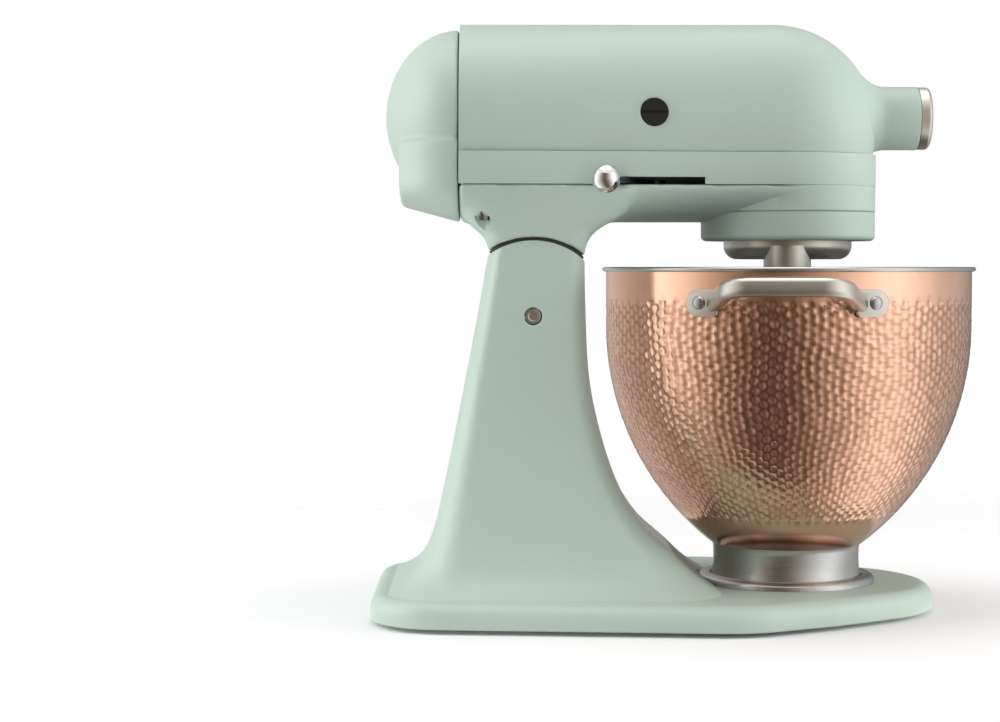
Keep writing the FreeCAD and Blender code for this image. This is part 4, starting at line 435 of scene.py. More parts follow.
class MIXER_OT_upper_shell(Operator):
    """Upper casting of the head: a rounded nose drawn out to the rear seam, with the power hub"""
    bl_idname = "mixer.upper_shell"
    bl_label = "Upper shell and hub"

    def execute(self, context):
        shell = start("uv_sphere", segments=128, ring_count=64, location=mm(NOSE_X, 0, AXIS_Z),
                      rotation=SIDEWAYS, scale=mm(RISE, FRONT_HALF, NOSE_REACH))
        open_front(shell)
        along(head_steps(NOSE_X, HEAD_END, HEAD_COUNT))
        select_all()
        bpy.ops.mesh.bisect(plane_co=mm(0, 0, BAND_TOP + BAND_GAP), plane_no=(0, 0, 1), clear_inner=True)
        outward()
        close()
        thicken(shell, wall=3)
        carve(shell, drum(BRUSH_R, ACROSS, BRUSH_X, HUB_Z))
        carve(shell, primitive("cylinder", vertices=96, radius=SOCKET_R * MM, depth=SOCKET_DEPTH * MM,
                               location=mm(SOCKET_X, 0, HUB_Z), rotation=SIDEWAYS))
        soften(shell, context.scene.mixer_sizes.seam_edge)
        finish(shell, "upper_shell", "head", "Pale green enamel", ("motor_housing",))
        hub = lathe(HUB_OUTLINE, steps=96, axis="x", centre=(0, 0, HUB_Z))
        soften(hub, 0.8)
        finish(hub, "power_hub", "head", "Pale green enamel")
        return {"FINISHED"}


class MIXER_OT_trim_ring(Operator):
    """Band between the castings, with the openings of both levers"""
    bl_idname = "mixer.trim_ring"
    bl_label = "Trim band"

    def execute(self, context):
        band = start("circle", vertices=128, radius=1, location=mm(NOSE_X, 0, BAND_LOW),
                     scale=mm(NOSE_REACH, FRONT_HALF, 1))
        open_front(band)
        along(head_steps(NOSE_X, HEAD_END, HEAD_COUNT), "vertices")
        bpy.ops.mesh.select_mode(type="EDGE")
        select_all()
        extrude(mm(0, 0, BAND_TOP - BAND_LOW - BAND_GAP))
        outward()
        close()
        thicken(band, wall=2.2)
        for x, y, length in LEVER_SLOTS:
            carve(band, primitive("cube", mm(length, SLOT_DEEP, SLOT_TALL), size=1,
                                  location=mm(x, y, SLOT_Z)))
        soften(band, 0.6)
        finish(band, "trim_ring", "head", "Pale green enamel", ("trim_band",))
        return {"FINISHED"}


NECK_ROWS = ((203.0, -180.6, -124.6, 55.0), (218.0, -181.0, -123.9, 55.8), (226.0, -184.0, -120.2, 57.2),
             (231.5, -190.0, -113.4, 58.8), (236.5, -195.0, -103.5, 60.5), (252.0, -195.6, -88.0, 63.8))
COLUMN_ROWS = ((17.5, -239.0, -45.0, 89.0), (21.5, -230.5, -52.0, 83.0), (27.0, -223.5, -59.5, 77.5),
               (38.0, -217.5, -71.0, 71.8), (54.0, -212.5, -88.5, 67.5), (77.0, -207.3, -103.0, 64.0),
               (105.0, -201.5, -113.3, 61.5), (140.0, -194.6, -121.0, 59.0), (180.0, -187.0, -123.5, 57.0),
               (226.0, -179.0, -124.3, 55.0))
HINGE_X, HINGE_Z = -154.6, 179.0
KNUCKLE_R, NECK_HOLLOW_R = 44.0, 46.0
TONGUE_HALF, TONGUE_R, BOSS_R, PIN_HOLE_R = 19.8, 54.0, 13.0, 5.0


def between(rows, count):
    """Evenly spaced rows on a smooth line through given rows."""
    found, slopes = [], []
    for i in range(len(rows)):
        before, after = rows[max(i - 1, 0)], rows[min(i + 1, len(rows) - 1)]
        slopes.append([(b - a) / (after[0] - before[0]) for a, b in zip(before[1:], after[1:])])
    for z in even(rows[0][0], rows[-1][0], count):
        i = max(k for k in range(len(rows) - 1) if rows[k][0] <= z + 1e-9)
        span = rows[i + 1][0] - rows[i][0]
        t = (z - rows[i][0]) / span
        row = [z]
        for k in range(1, len(rows[0])):
            a, b = rows[i][k], rows[i + 1][k]
            m, n = slopes[i][k - 1] * span, slopes[i + 1][k - 1] * span
            row.append(a * (2 * t ** 3 - 3 * t ** 2 + 1) + m * (t ** 3 - 2 * t ** 2 + t)
                       + b * (3 * t ** 2 - 2 * t ** 3) + n * (t ** 3 - t ** 2))
        found.append(row)
    return found


def upright(rows, corner, count):
    """A rounded rectangle drawn upwards, resized at every row."""
    rows = between(rows, count)
    z, rear, front, half = rows[0]
    obj = start("plane", mm(front - rear, 2 * half, 1), size=1, location=mm((rear + front) / 2, 0, z))
    bpy.ops.mesh.bevel(offset=corner * MM, segments=10, affect="VERTICES", offset_type="OFFSET")
    select_all()
    for here, there in zip(rows, rows[1:]):
        middle = [(row[1] + row[2]) / 2 for row in (here, there)]
        size = [(there[2] - there[1]) / (here[2] - here[1]), there[3] / here[3]]
        extrude(mm(middle[1] - middle[0], 0, there[0] - here[0]))
        bpy.ops.transform.resize(value=(*size, 1), center_override=mm(middle[1], 0, there[0]))
    select_all()
    bpy.ops.mesh.normals_make_consistent(inside=False)
    close()
    return obj


def drum(radius, half, x=HINGE_X, z=HINGE_Z):
    """A round bar across the mixer, about the hinge unless a place is given."""
    return primitive("cylinder", vertices=160, radius=radius * MM, depth=2 * half * MM,
                     location=mm(x, 0, z), rotation=(math.pi / 2, 0, 0))


def wedge(inner, outer, first, last, half):
    """A sector about the hinge, drawn across the mixer; angles in degrees from the front."""
    angles = [math.radians(a) for a in even(first, last, 16)]
    ends = [(outer, a) for a in angles] + [(inner, a) for a in reversed(angles)]
    points = [mm(HINGE_X + r * math.cos(a), -half, HINGE_Z + r * math.sin(a)) for r, a in ends]
    obj = trace(points + points[:1])
    outward()
    bpy.ops.mesh.edge_face_add()
    select_all()
    extrude(mm(0, 2 * half, 0))
    outward()
    close()
    return obj


def fused(pieces, voxel, rounds):
    """Several pieces grown into one casting, with soft inner corners."""
    obj = joined(pieces)
    modify(obj, "REMESH", mode="VOXEL", voxel_size=voxel * MM, adaptivity=0)
    modify(obj, "SMOOTH", factor=0.5, iterations=rounds)
    return obj


class MIXER_OT_lower_shell(Operator):
    """Lower casting of the head: trough, neck and collar grown together, and the hinge tongue"""
    bl_idname = "mixer.lower_shell"
    bl_label = "Lower shell"

    def execute(self, context):
        trough = start("circle", mm(TROUGH, head_half(SEAM_X), 1), vertices=96, radius=1, fill_type="NGON",
                       location=mm(HEAD_END, 0, BAND_LOW), rotation=SIDEWAYS)
        bpy.ops.mesh.bisect(plane_co=mm(0, 0, BAND_LOW), plane_no=(0, 0, 1), clear_outer=True, use_fill=True)
        select_all()
        front = [(x, FRONT_HALF * math.sqrt(1 - ((x - NOSE_X) / NOSE_REACH) ** 2)) for x in range(-4, 27, 6)]
        along(head_steps(HEAD_END, NOSE_X, 34) + front)
        outward()
        close()
        neck = upright(NECK_ROWS, corner=13, count=20)
        carve(neck, drum(NECK_HOLLOW_R, ACROSS))
        collar = lathe(((0, COLLAR_LOW), (COLLAR_R - COLLAR_EDGE, COLLAR_LOW),
                        (COLLAR_R, COLLAR_LOW + COLLAR_EDGE), (COLLAR_R, COLLAR_TOP), (0, COLLAR_TOP)), steps=128)
        shell = fused([trough, neck], voxel=1.5, rounds=14)
        carve(shell, primitive("cylinder", vertices=128, radius=(COLLAR_R + COLLAR_GAP) * MM,
                               depth=COLLAR_CUT * MM, location=mm(0, 0, COLLAR_LOW - COLLAR_CUT / 2)))
        carve(shell, collar, "UNION")
        for side in (-1, 1):
            carve(shell, primitive("cylinder", vertices=40, radius=SCREW_R * MM, depth=SCREW_CUT * MM,
                                   location=mm(SCREW_X, SCREW_Y * side, SCREW_Z)))
        finish(shell, "lower_shell", "head", "Pale green enamel", ("gear_case",), angle=40)
        tongue = wedge(4, TONGUE_R, first=60, last=80, half=TONGUE_HALF)
        carve(tongue, drum(BOSS_R, TONGUE_HALF), "UNION")
        carve(tongue, drum(PIN_HOLE_R, half=30))
        soften(tongue, 0.6, angle=35)
        finish(tongue, "hinge_tongue", "head", "Cast alloy")
        return {"FINISHED"}


class MIXER_OT_rear_cover(Operator):
    """Cover over the back of the motor: a dome that runs down into a skirt"""
    bl_idname = "mixer.rear_cover"
    bl_label = "Rear cover"

    def execute(self, context):
        wide = REAR_HALF - 1.5
        dome = start("uv_sphere", mm(DOME_RISE, wide, DOME_REACH), segments=128, ring_count=64,
                     location=mm(SEAM_X, 0, HUB_Z), rotation=SIDEWAYS)
        bpy.ops.mesh.bisect(plane_co=mm(SEAM_X, 0, 0), plane_no=(1, 0, 0), clear_outer=True, use_fill=True)
        outward()
        close()
        skirt = start("circle", mm(TROUGH, wide, 1), vertices=96, radius=1, fill_type="NGON",
                      location=mm(SEAM_X, 0, BAND_LOW), rotation=SIDEWAYS)
        bpy.ops.mesh.bisect(plane_co=mm(0, 0, BAND_LOW), plane_no=(0, 0, 1), clear_outer=True, use_fill=True)
        pick(skirt, lambda p: p.z > (BAND_LOW - HAIR) * MM, "EDGE")
        extrude(mm(0, 0, SKIRT_RISE))
        last_half, last_depth = wide, TROUGH
        select_all()
        for share in even(0, 1, SKIRT_COUNT)[1:]:
            half, depth = wide - (wide - SKIRT_END) * share ** 2.5, TROUGH - SKIRT_LIFT * share
            x = SEAM_X - SKIRT_REACH * share
            extrude(mm(-SKIRT_REACH / SKIRT_COUNT, 0, 0))
            bpy.ops.transform.resize(value=(1, half / last_half, 1), center_override=mm(x, 0, BAND_LOW))
            pick(skirt, lambda p: p.x < (x + 0.1) * MM and p.z < (BAND_LOW - HAIR) * MM)
            bpy.ops.transform.resize(value=(1, 1, depth / last_depth), center_override=mm(x, 0, BAND_LOW))
            pick(skirt, lambda p: p.x < (x + 0.1) * MM)
            last_half, last_depth = half, depth
        outward()
        close()
        cover = fused([dome, skirt], voxel=1.4, rounds=10)
        take(cover)
        bpy.ops.object.mode_set(mode="EDIT")
        select_all()
        bpy.ops.mesh.bisect(plane_co=mm(SEAM_X - SEAM_GAP, 0, 0), plane_no=(1, 0, 0), clear_outer=True,
                            use_fill=True)
        close()
        soften(cover, context.scene.mixer_sizes.seam_edge, angle=55)
        finish(cover, "rear_cap", "head", "Pale green enamel", ("rear_cover",), angle=50)
        return {"FINISHED"}


# Stand

COLUMN_CORNER, COLUMN_COUNT, ABOVE = 30.0, 60, (200, 240, 120)
SLOT_HALF, SLOT_R, BOSS_ROOM_R, EAR_HOLE_R, CLAMP_ROOM_R = 20.6, 64.0, 13.6, 5.2, 54.2
PIN_OUTLINE = ((0, -53.9), (2.3, -53.9), (2.5, -55.2), (3.0, -55.5), (4.2, -55.4), (4.7, -54.9), (4.7, 54.9),
               (4.2, 55.4), (3.0, 55.5), (2.5, 55.2), (2.3, 53.9), (0, 53.9))
STRIP_OUTLINE = ((43.5, 23), (45.6, 23), (45.6, 60), (43.5, 60), (43.5, 23))
STRIP_START, STRIP_SWEEP, STRIP_INSET = 0.85, 1.32, 0.5
BASE_LOW, BASE_RISE, BASE_ROUND = 2.6, 14.9, 8.5
BASE_CIRCLES = ((16, 0, 72), (-16, 27, 68.4), (-16, -27, 68.4), (-45, 52, 60), (-45, -52, 60), (-206, 55, 44),
                (-206, -55, 44))


class MIXER_OT_column(Operator):
    """Column with its flared foot and the round top that the neck rides on"""
    bl_idname = "mixer.column"
    bl_label = "Column"

    def execute(self, context):
        column = upright(COLUMN_ROWS, COLUMN_CORNER, COLUMN_COUNT)
        above = primitive("cube", mm(*ABOVE), size=1, location=mm(HINGE_X, 0, HINGE_Z + ABOVE[2] / 2))
        carve(above, drum(KNUCKLE_R, half=130))
        carve(column, above)
        slot = wedge(4, SLOT_R, first=58, last=122, half=SLOT_HALF)
        carve(slot, drum(BOSS_ROOM_R, SLOT_HALF), "UNION")
        carve(column, slot)
        carve(column, drum(EAR_HOLE_R, ACROSS))
        carve(column, primitive("cylinder", vertices=128, radius=CLAMP_ROOM_R * MM, depth=12 * MM,
                                location=mm(0, 0, 18)))
        soften(column, context.scene.mixer_sizes.seam_edge)
        finish(column, "stand_column", "stand", "Pale green enamel", ("column",), angle=45)
        pin = lathe(PIN_OUTLINE, steps=64, axis="y", centre=(HINGE_X, 0, HINGE_Z))
        finish(pin, "hinge_pin_bar", "stand", "Satin nickel", ("hinge_pin",), angle=50)
        # Dark strips in the gap between neck and column paint the shade there; the rubber finish only gives them
        # their dark colour.
        strips = joined([self.strip(side) for side in (-1, 1)])
        finish(strips, "hinge_gasket", "stand", "Soft rubber")
        return {"FINISHED"}

    def strip(self, side):
        """One of the two dark strips on the column's round top that paint the shade in the gap under the neck,
        kept inside the column's outline.
        """
        way = Vector((math.cos(STRIP_START), 0, math.sin(STRIP_START)))
        strip = trace([mm(HINGE_X, side * y, HINGE_Z) + way * (r * MM) for r, y in STRIP_OUTLINE])
        outward()
        select_all()
        bpy.ops.mesh.edge_face_add()
        bpy.ops.mesh.spin(steps=40, angle=STRIP_SWEEP, center=mm(HINGE_X, 0, HINGE_Z), axis=(0, 1, 0))
        outward()
        close()
        inside = [(z, rear + STRIP_INSET, front - STRIP_INSET, half - STRIP_INSET)
                  for z, rear, front, half in COLUMN_ROWS]
        carve(strip, upright(inside, COLUMN_CORNER, COLUMN_COUNT), "INTERSECT")
        return strip


def belt(rounds, count):
    """Points of a tight belt round several circles."""
    angles = even(0, 2 * math.pi, count)[:-1]
    points = sorted((x + r * math.cos(a), y + r * math.sin(a)) for x, y, r in rounds for a in angles)

    def side(run):
        chain = []
        for x, y in run:
            while len(chain) > 1 and ((chain[-1][0] - chain[-2][0]) * (y - chain[-2][1])
                                      <= (chain[-1][1] - chain[-2][1]) * (x - chain[-2][0])):
                chain.pop()
            chain.append((x, y))
        return chain[:-1]
    return side(points) + side(points[::-1])


class MIXER_OT_base(Operator):
    """Base plate: a belt round seven circles, with a rounded upper edge"""
    bl_idname = "mixer.base"
    bl_label = "Base"

    def execute(self, context):
        outline = belt(BASE_CIRCLES, count=144)
        base = trace([mm(x, y, BASE_LOW) for x, y in outline + outline[:1]])
        outward()
        bpy.ops.mesh.edge_face_add()
        select_all()
        extrude(mm(0, 0, BASE_RISE))
        outward()
        pick(base, lambda p: p.z > (BASE_LOW + BASE_RISE - 0.1) * MM, "EDGE")
        bpy.ops.mesh.bevel(offset=BASE_ROUND * MM, segments=8, affect="EDGES")
        pick(base, lambda p: p.z < (BASE_LOW + 0.1) * MM, "EDGE")
        bpy.ops.mesh.bevel(offset=1.2 * MM, segments=3, affect="EDGES")
        close()
        finish(base, "stand_base", "stand", "Pale green enamel", ("base_casting",), angle=40)
        return {"FINISHED"}


# Bowl

WALL_ARC, WALL_R, WALL_Z = 166.0, 109.5, 172.0
BOWL_LOW, DENT_LOW, DENT_HIGH, BOWL_TOP = 40.7, 60.0, 189.0, 205.0
POINTS_ACROSS, POINTS_UP = 4, 6
MARK_DRAWS = ((0.5, 1.0), (-0.25, 0.25), (-0.25, 0.25))
MARK_WAVE, MARK_SQUARE, MARK_FILL, RIDGE_GAIN, NUDGE = 0.2, 2.4, 0.8, 1.6, 1e-4
SHEET = 1.2
RIM = [(109.4, 204.7), (110.5, 204.8), (111.5, 205.3), (111.9, 206.2), (111.6, 207.1), (110.7, 207.6),
       (109.4, 207.5), (108.4, 206.7)]
BOWL_FLOOR = [(40, 42.0), (24, 41.8), (0, 41.8)]
FOOT_OUTLINE = ((44.5, 44.5), (45.2, 43.2), (45.1, 41.6), (44.3, 40.6), (43.9, 37), (43.8, 32), (44.0, 27),
                (44.6, 23.4), (45.3, 21.6), (45.3, 19.1), (43.5, 19.1), (42.3, 24), (42.2, 40))
PLATE_OUTLINE = ((0, 19.0), (46.4, 19.0), (46.4, 20.6), (45.9, 21.4), (46.4, 22.4), (48.5, 22.5),
                 (50.6, 22.2), (52.4, 21.1), (53.3, 19.6), (53.5, 17.6), (0, 17.6))


def wall_point(travel):
    """Radius and height on the bowl's outside, by the distance up from where the side curve starts."""
    if travel >= 0:
        return WALL_R, WALL_Z + travel
    angle = travel / WALL_ARC
    return WALL_R - WALL_ARC + WALL_ARC * math.cos(angle), WALL_Z + WALL_ARC * math.sin(angle)


def wall_travel(z):
    """That distance at a height."""
    return z - WALL_Z if z > WALL_Z else WALL_ARC * math.asin(max((z - WALL_Z) / WALL_ARC, -1))


class MIXER_OT_bowl_wall(Operator):
    """Outside of the bowl in hammered copper: staggered rows of shallow scoops"""
    bl_idname = "mixer.bowl_wall"
    bl_label = "Bowl outside"

    def execute(self, context):
        sizes = context.scene.mixer_sizes
        foot, low, high, top = map(wall_travel, (BOWL_LOW, DENT_LOW, DENT_HIGH, BOWL_TOP))
        travels = even(foot, low, 6)[:-1] + even(low, high, sizes.dent_rows * POINTS_UP)[:-1]
        travels += even(high, top, 4)
        wall = trace([mm(r, 0, z) for r, z in map(wall_point, travels)])
        select_all()
        bpy.ops.mesh.spin(steps=sizes.dent_columns * POINTS_ACROSS, angle=2 * math.pi, center=(0, 0, 0),
                          axis=(0, 0, 1))
        outward()
        close()
        scoops, ridges = self.hammer(wall, sizes, low, high)
        dents = wall.vertex_groups.new(name="dents")
        for index, scoop in enumerate(scoops):
            if scoop:
                dents.add([index], min(scoop, 1.0), "REPLACE")
        modify(wall, "DISPLACE", direction="NORMAL", strength=-sizes.dent_depth, mid_level=0,
               vertex_group="dents")
        # The ridge share drives the painted shade that the copper finish multiplies into its colour.
        wall.data.attributes.new("ridge", "FLOAT", "POINT").data.foreach_set("value", ridges)
        finish(wall, "bowl_wall", "bowl", "Hammered copper", ("bowl_shell",), angle=180)
        return {"FINISHED"}

    def hammer(self, wall, sizes, low, high):
        """How deep every point lies in its hammer mark, and how much of a ridge it is, which sets the painted
        shade on the ridges.
        """
        chance = random.Random(5)
        marks = {}
        pitch = (high - low) / sizes.dent_rows
        scoops = [0.0] * len(wall.data.vertices)
        ridges = list(scoops)
        for vertex in wall.data.vertices:
            x, y, z = vertex.co / MM
            travel = wall_travel(z)
            if not low - HAIR < travel < high + HAIR:
                continue
            around = math.atan2(y, x)
            wave = MARK_WAVE * math.sin(0.12 * travel + 2 * math.sin(5 * around))
            column = (around / (2 * math.pi) * sizes.dent_columns + wave) % sizes.dent_columns + NUDGE
            cell_column = int(column) % sizes.dent_columns
            odd = cell_column % 2
            row = (travel - low) / pitch + 0.5 * odd + NUDGE
            cell_row = int(row)
            if not odd <= cell_row < sizes.dent_rows:
                continue
            cell = (cell_row, cell_column)
            if cell not in marks:
                marks[cell] = [chance.uniform(*span) for span in MARK_DRAWS]
            power, shift_u, shift_v = marks[cell]
            u = 2 * (column - int(column)) - 1 - shift_u
            v = 2 * (row - cell_row) - 1 - shift_v
            scoop = power * max(0.0, 1 - (abs(u) ** MARK_SQUARE + abs(v) ** MARK_SQUARE) * MARK_FILL)
            scoops[vertex.index] = scoop
            ridges[vertex.index] = max(0.0, 1 - RIDGE_GAIN * scoop)
        return scoops, ridges


class MIXER_OT_bowl_lining(Operator):
    """Inside of the bowl with the rolled rim, its foot ring and the clamp plate"""
    bl_idname = "mixer.bowl_lining"
    bl_label = "Bowl lining and foot"

    def execute(self, context):
        down = (0, 15, 30, 45, 60, 75, 90, 105, 120, 130, 140)
        inner = [(r - SHEET, z) for r, z in (wall_point(-t) for t in down) if z > 43]
        lining = lathe(RIM + inner + BOWL_FLOOR, steps=192)
        finish(lining, "bowl_lining", "bowl", "Brushed steel", angle=60)
        foot = lathe(FOOT_OUTLINE, steps=160)
        finish(foot, "bowl_foot_ring", "bowl", "Brushed steel", ("bowl_foot",), angle=50)
        plate = lathe(PLATE_OUTLINE, steps=160)
        finish(plate, "bowl_clamp_ring", "stand", "Brushed steel", ("bowl_clamp_plate",),
               angle=50)
        return {"FINISHED"}


HANDLE_TURN, LUG_TURN, RIVET_TURN = math.radians(-7.5), math.radians(24.5), math.radians(26)
HANDLE_CORNER, HANDLE_END = mm(31, -138.1, 196.5), mm(40.6, -103.6, 187.5)
HANDLE_BEND = 15 * MM
LUG_X, LUG_Y, LUG_Z = 1.2, -111.2, 187.2
RIVET_OUTLINE = ((0, -114.5), (1.6, -114.4), (2.9, -114.0), (3.7, -113.3), (4.0, -112.4), (4.0, -110.6),
                 (0, -110.6))
RIVET_Z = 187.5


class MIXER_OT_bowl_handle(Operator):
    """Handle of the bowl: a bent bar between two riveted lugs"""
    bl_idname = "mixer.bowl_handle"
    bl_label = "Bowl handle"

    def execute(self, context):
        handle = joined([self.bar()] + [self.lug(sign) for sign in (-1, 1)])
        handle.rotation_euler.z = HANDLE_TURN
        finish(handle, "handle_bar", "bowl", "Satin nickel", ("bowl_handle",), angle=35)
        heads = joined([self.rivet(sign) for sign in (-1, 1)])
        finish(heads, "handle_rivet_heads", "bowl", "Ground steel", ("handle_rivets",),
               angle=40)
        return {"FINISHED"}

    def bar(self):
        """The bar: half of it drawn out round one bend, then mirrored."""
        corner, end = HANDLE_CORNER, HANDLE_END
        arm = (end - corner).normalized()
        run = Vector((1, 0, 0))
        turn = run.angle(arm)
        axis = run.cross(arm).normalized()
        inward = axis.cross(run).normalized()
        tangent = HANDLE_BEND * math.tan(turn / 2)
        bar = start("plane", mm(8.4, 10.2, 1), size=1)
        bpy.ops.mesh.bevel(offset=3.1 * MM, segments=6, affect="VERTICES")
        mesh = bmesh.from_edit_mesh(bar.data)
        for vertex in mesh.verts:
            vertex.co = Vector((0, corner.y, corner.z)) + inward * vertex.co.x + axis * vertex.co.y
        bmesh.update_edit_mesh(bar.data)
        select_all()
        straight = corner.x - tangent
        extrude(Vector((straight, 0, 0)))
        middle = Vector((straight, corner.y, corner.z)) + inward * HANDLE_BEND
        bpy.ops.mesh.spin(steps=12, angle=-turn, center=middle, axis=axis)
        extrude(arm * ((end - corner).length - tangent))
        select_all()
        bpy.ops.mesh.normals_make_consistent(inside=False)
        pick(bar, lambda p: p.x < 1e-6, "FACE")
        bpy.ops.mesh.delete(type="FACE")
        close()
        modify(bar, "MIRROR", use_axis=(True, False, False), merge_threshold=1e-5)
        return bar

    def lug(self, sign):
        """A flat lug, round at its outer end."""
        def upright_edge(p):
            return abs(p.y - LUG_Y * MM) < 1e-6

        lug = start("cube", mm(19.5, 2.7, 15.6), size=1, location=mm(LUG_X * sign, LUG_Y, LUG_Z))
        pick(lug, lambda p: p.x * sign > 8 * MM and upright_edge(p), "EDGE")
        bpy.ops.mesh.bevel(offset=7.2 * MM, segments=10, affect="EDGES")
        pick(lug, lambda p: p.x * sign < -7 * MM and upright_edge(p), "EDGE")
        bpy.ops.mesh.bevel(offset=2.4 * MM, segments=5, affect="EDGES")
        close()
        soften(lug, 0.7, angle=40)
        lug.rotation_euler.z = sign * LUG_TURN
        return settle(lug)

    def rivet(self, sign):
        """The round head of a rivet."""
        rivet = lathe(RIVET_OUTLINE, steps=40, axis="y", centre=(0, 0, RIVET_Z))
        rivet.rotation_euler.z = sign * RIVET_TURN + HANDLE_TURN
        return settle(rivet)


# Finishes

class MIXER_OT_finishes(Operator):
    """Makes the finishes and paints the parts that keep their own shape"""
    bl_idname = "mixer.finishes"
    bl_label = "Finishes"

    def execute(self, context):
        tints = context.scene.mixer_colours
        groups = {g.name: g for g in (grain_group(), mottle_group(), brushed_group())}
        enamel, copper, nickel = tuple(tints.enamel), tuple(tints.copper), tuple(tints.nickel)
        steel, dark = (0.53, 0.53, 0.52), (0.012, 0.012, 0.013)

        def make(name, metallic, colour, change, drift, bump, texture):
            return finish_base(name, groups, metallic, (colour, shade(colour, change)), drift, bump, texture)

        make("Pale green enamel", 0.0, enamel, 0.97, 9, (0.06, 0.25), grain(750, 0.40, 0.10))
        hammered = make("Hammered copper", 1.0, copper, 0.9, 30, (0.08, 0.12), grain(420, 0.16, 0.07))
        # Painted shade on the copper's ridges.
        self.paint_ridge_shade(hammered)
        make("Brushed steel", 1.0, steel, 0.9, 25, (0.05, 0.05), brushed((60, 60, 3200), 0.24, 0.16))
        make("Satin nickel", 1.0, nickel, 0.92, 40, (0.08, 0.08), grain(1500, 0.34, 0.12))
        make("Bright chrome", 1.0, (0.80, 0.80, 0.81), 0.95, 30, (0.01, 0.03), grain(300, 0.07, 0.05))
        make("Black moulding", 0.0, dark, 0.7, 40, (0.15, 0.1), grain(1600, 0.42, 0.15))
        make("Blackened steel", 1.0, (0.2, 0.2, 0.2), 0.7, 60, (0.1, 0.05), grain(1200, 0.4, 0.12))
        make("Soft rubber", 0.0, (0.03, 0.03, 0.03), 0.75, 50, (0.25, 0.15), grain(900, 0.75, 0.15))
        make("Ground steel", 1.0, (0.5, 0.5, 0.52), 0.85, 60, (0.08, 0.05),
             brushed((1800, 1800, 90), 0.3, 0.18))
        make("Machined bronze", 1.0, (0.62, 0.43, 0.2), 0.85, 60, (0.08, 0.05),
             brushed((1400, 1400, 200), 0.3, 0.15))
        make("Cast alloy", 1.0, (0.58, 0.58, 0.57), 0.88, 45, (0.3, 0.2), grain(1100, 0.52, 0.16))
        make("Laminated iron", 0.8, (0.13, 0.13, 0.14), 0.7, 60, (0.3, 0.15),
             brushed((2600, 40, 40), 0.5, 0.2))
        make("Wound copper", 0.9, (0.6, 0.27, 0.12), 0.75, 80, (0.5, 0.3),
             brushed((1500, 120, 120), 0.38, 0.2))
        make("Circuit board", 0.0, (0.03, 0.12, 0.06), 0.6, 160, (0.2, 0.1), grain(700, 0.45, 0.15))
        nodes = {
            "Pale green enamel": ("planetary_collar",),
            "Soft rubber": ("rubber_feet",),
            "Blackened steel": ("case_screws", "speed_lever", "lock_lever"),
            "Satin nickel": ("planetary_disc", "beater_shaft", "hub_cap", "hub_knob"),
            "Bright chrome": ("speed_knob", "lock_knob", "rear_cover_screw", "beater_cross_pin",
                              "clamp_plate_screws"),
            "Black moulding": ("brush_caps", "cord_inlet", "brush_holders", "control_plate",
                               "carbon_brushes"),
            "Ground steel": ("ring_gear", "centre_shaft", "planetary_pin", "centre_gear", "centre_bevel",
                             "planet_pinion", "hub_shaft", "hub_bevel", "drive_pinion", "worm_wheel_shaft",
                             "armature_shaft", "motor_bearings"),
            "Machined bronze": ("worm_wheel", "shaft_bushes"),
            "Cast alloy": ("gear_bracket", "rear_bearing_bracket", "cooling_fan"),
            "Laminated iron": ("stator_core", "armature_core"),
            "Wound copper": ("field_coils", "commutator"),
            "Circuit board": ("speed_board",),
        }
        for finish_name, names in nodes.items():
            for name in names:
                paint(NODES[name], finish_name)
        return {"FINISHED"}

    def paint_ridge_shade(self, tree):
        """Painted shade along the ridges between the hammer marks: the copper's colour is multiplied darker and
        redder there.
        """
        shader = tree.nodes["Principled BSDF"]
        plain = shader.inputs["Base Color"].links[0].from_socket
        ridge = add(tree, "Attribute", attribute_name="ridge")
        share = add(tree, "MapRange", in_to_max=0.75)
        ridge_shade = add(tree, "Mix", data_type="RGBA", blend_type="MULTIPLY")
        # Colour of the painted shade on the copper's ridges.
        ridge_shade.inputs[7].default_value = (0.45, 0.37, 0.3, 1)
        join(tree, ridge, "Fac", share, 0)
        join(tree, share, 0, ridge_shade, "Factor")
        tree.links.new(plain, ridge_shade.inputs[6])
        tree.links.new(ridge_shade.outputs[2], shader.inputs["Base Color"])


# Stage

LAMPS = (
    ("left_softbox", (-1.35, -0.1, 0.6), (-0.1, 0, 0.2), (0.9, 1.0), 13),
    ("right_softbox", (1.3, -0.15, 0.5), (0, 0, 0.2), (0.9, 0.9), 14.5),
    ("front_fill", (-0.3, -1.5, 1.75), (-0.08, 0, 0.2), (1.2, 0.6), 0.6),
    ("low_fill", (0.2, -1.2, 0.14), (0, 0, 0.24), (0.9, 0.16), 1.7),
    ("top_softbox", (-0.1, 0.05, 1.7), (-0.08, 0, 0.2), (1.3, 1.2), 9),
)
WORLD_LIGHT = 0.43
FLOOR_X, FLOOR_R, FLOOR_FADE = -0.08, 1.4, (0.8, 0.32)
CARD_R, CARD_TALL, CARD_TURN = 2.2, 2.4, math.radians(17)
# Share of the half turn from the back, brightness and warmth.
CARD_STOPS = ((0, 0.1, 0.9), (0.24, 0.39, 1), (0.36, 0.47, 1), (0.46, 0.72, 1), (0.555, 1, 1),
              (0.63, 0.91, 1), (0.705, 0.7, 0.96), (0.78, 0.46, 0.92), (0.845, 0.3, 0.88),
              (0.91, 0.16, 0.84), (1, 0.078, 0.8))
FLANK_GAP, FLANK_HALF = 1.5, 60.0
CAMERA_PLACE, CAMERA_DIP, CAMERA_LENS = (-0.1739, -1.320, 0.2082), 2.5, 78.4


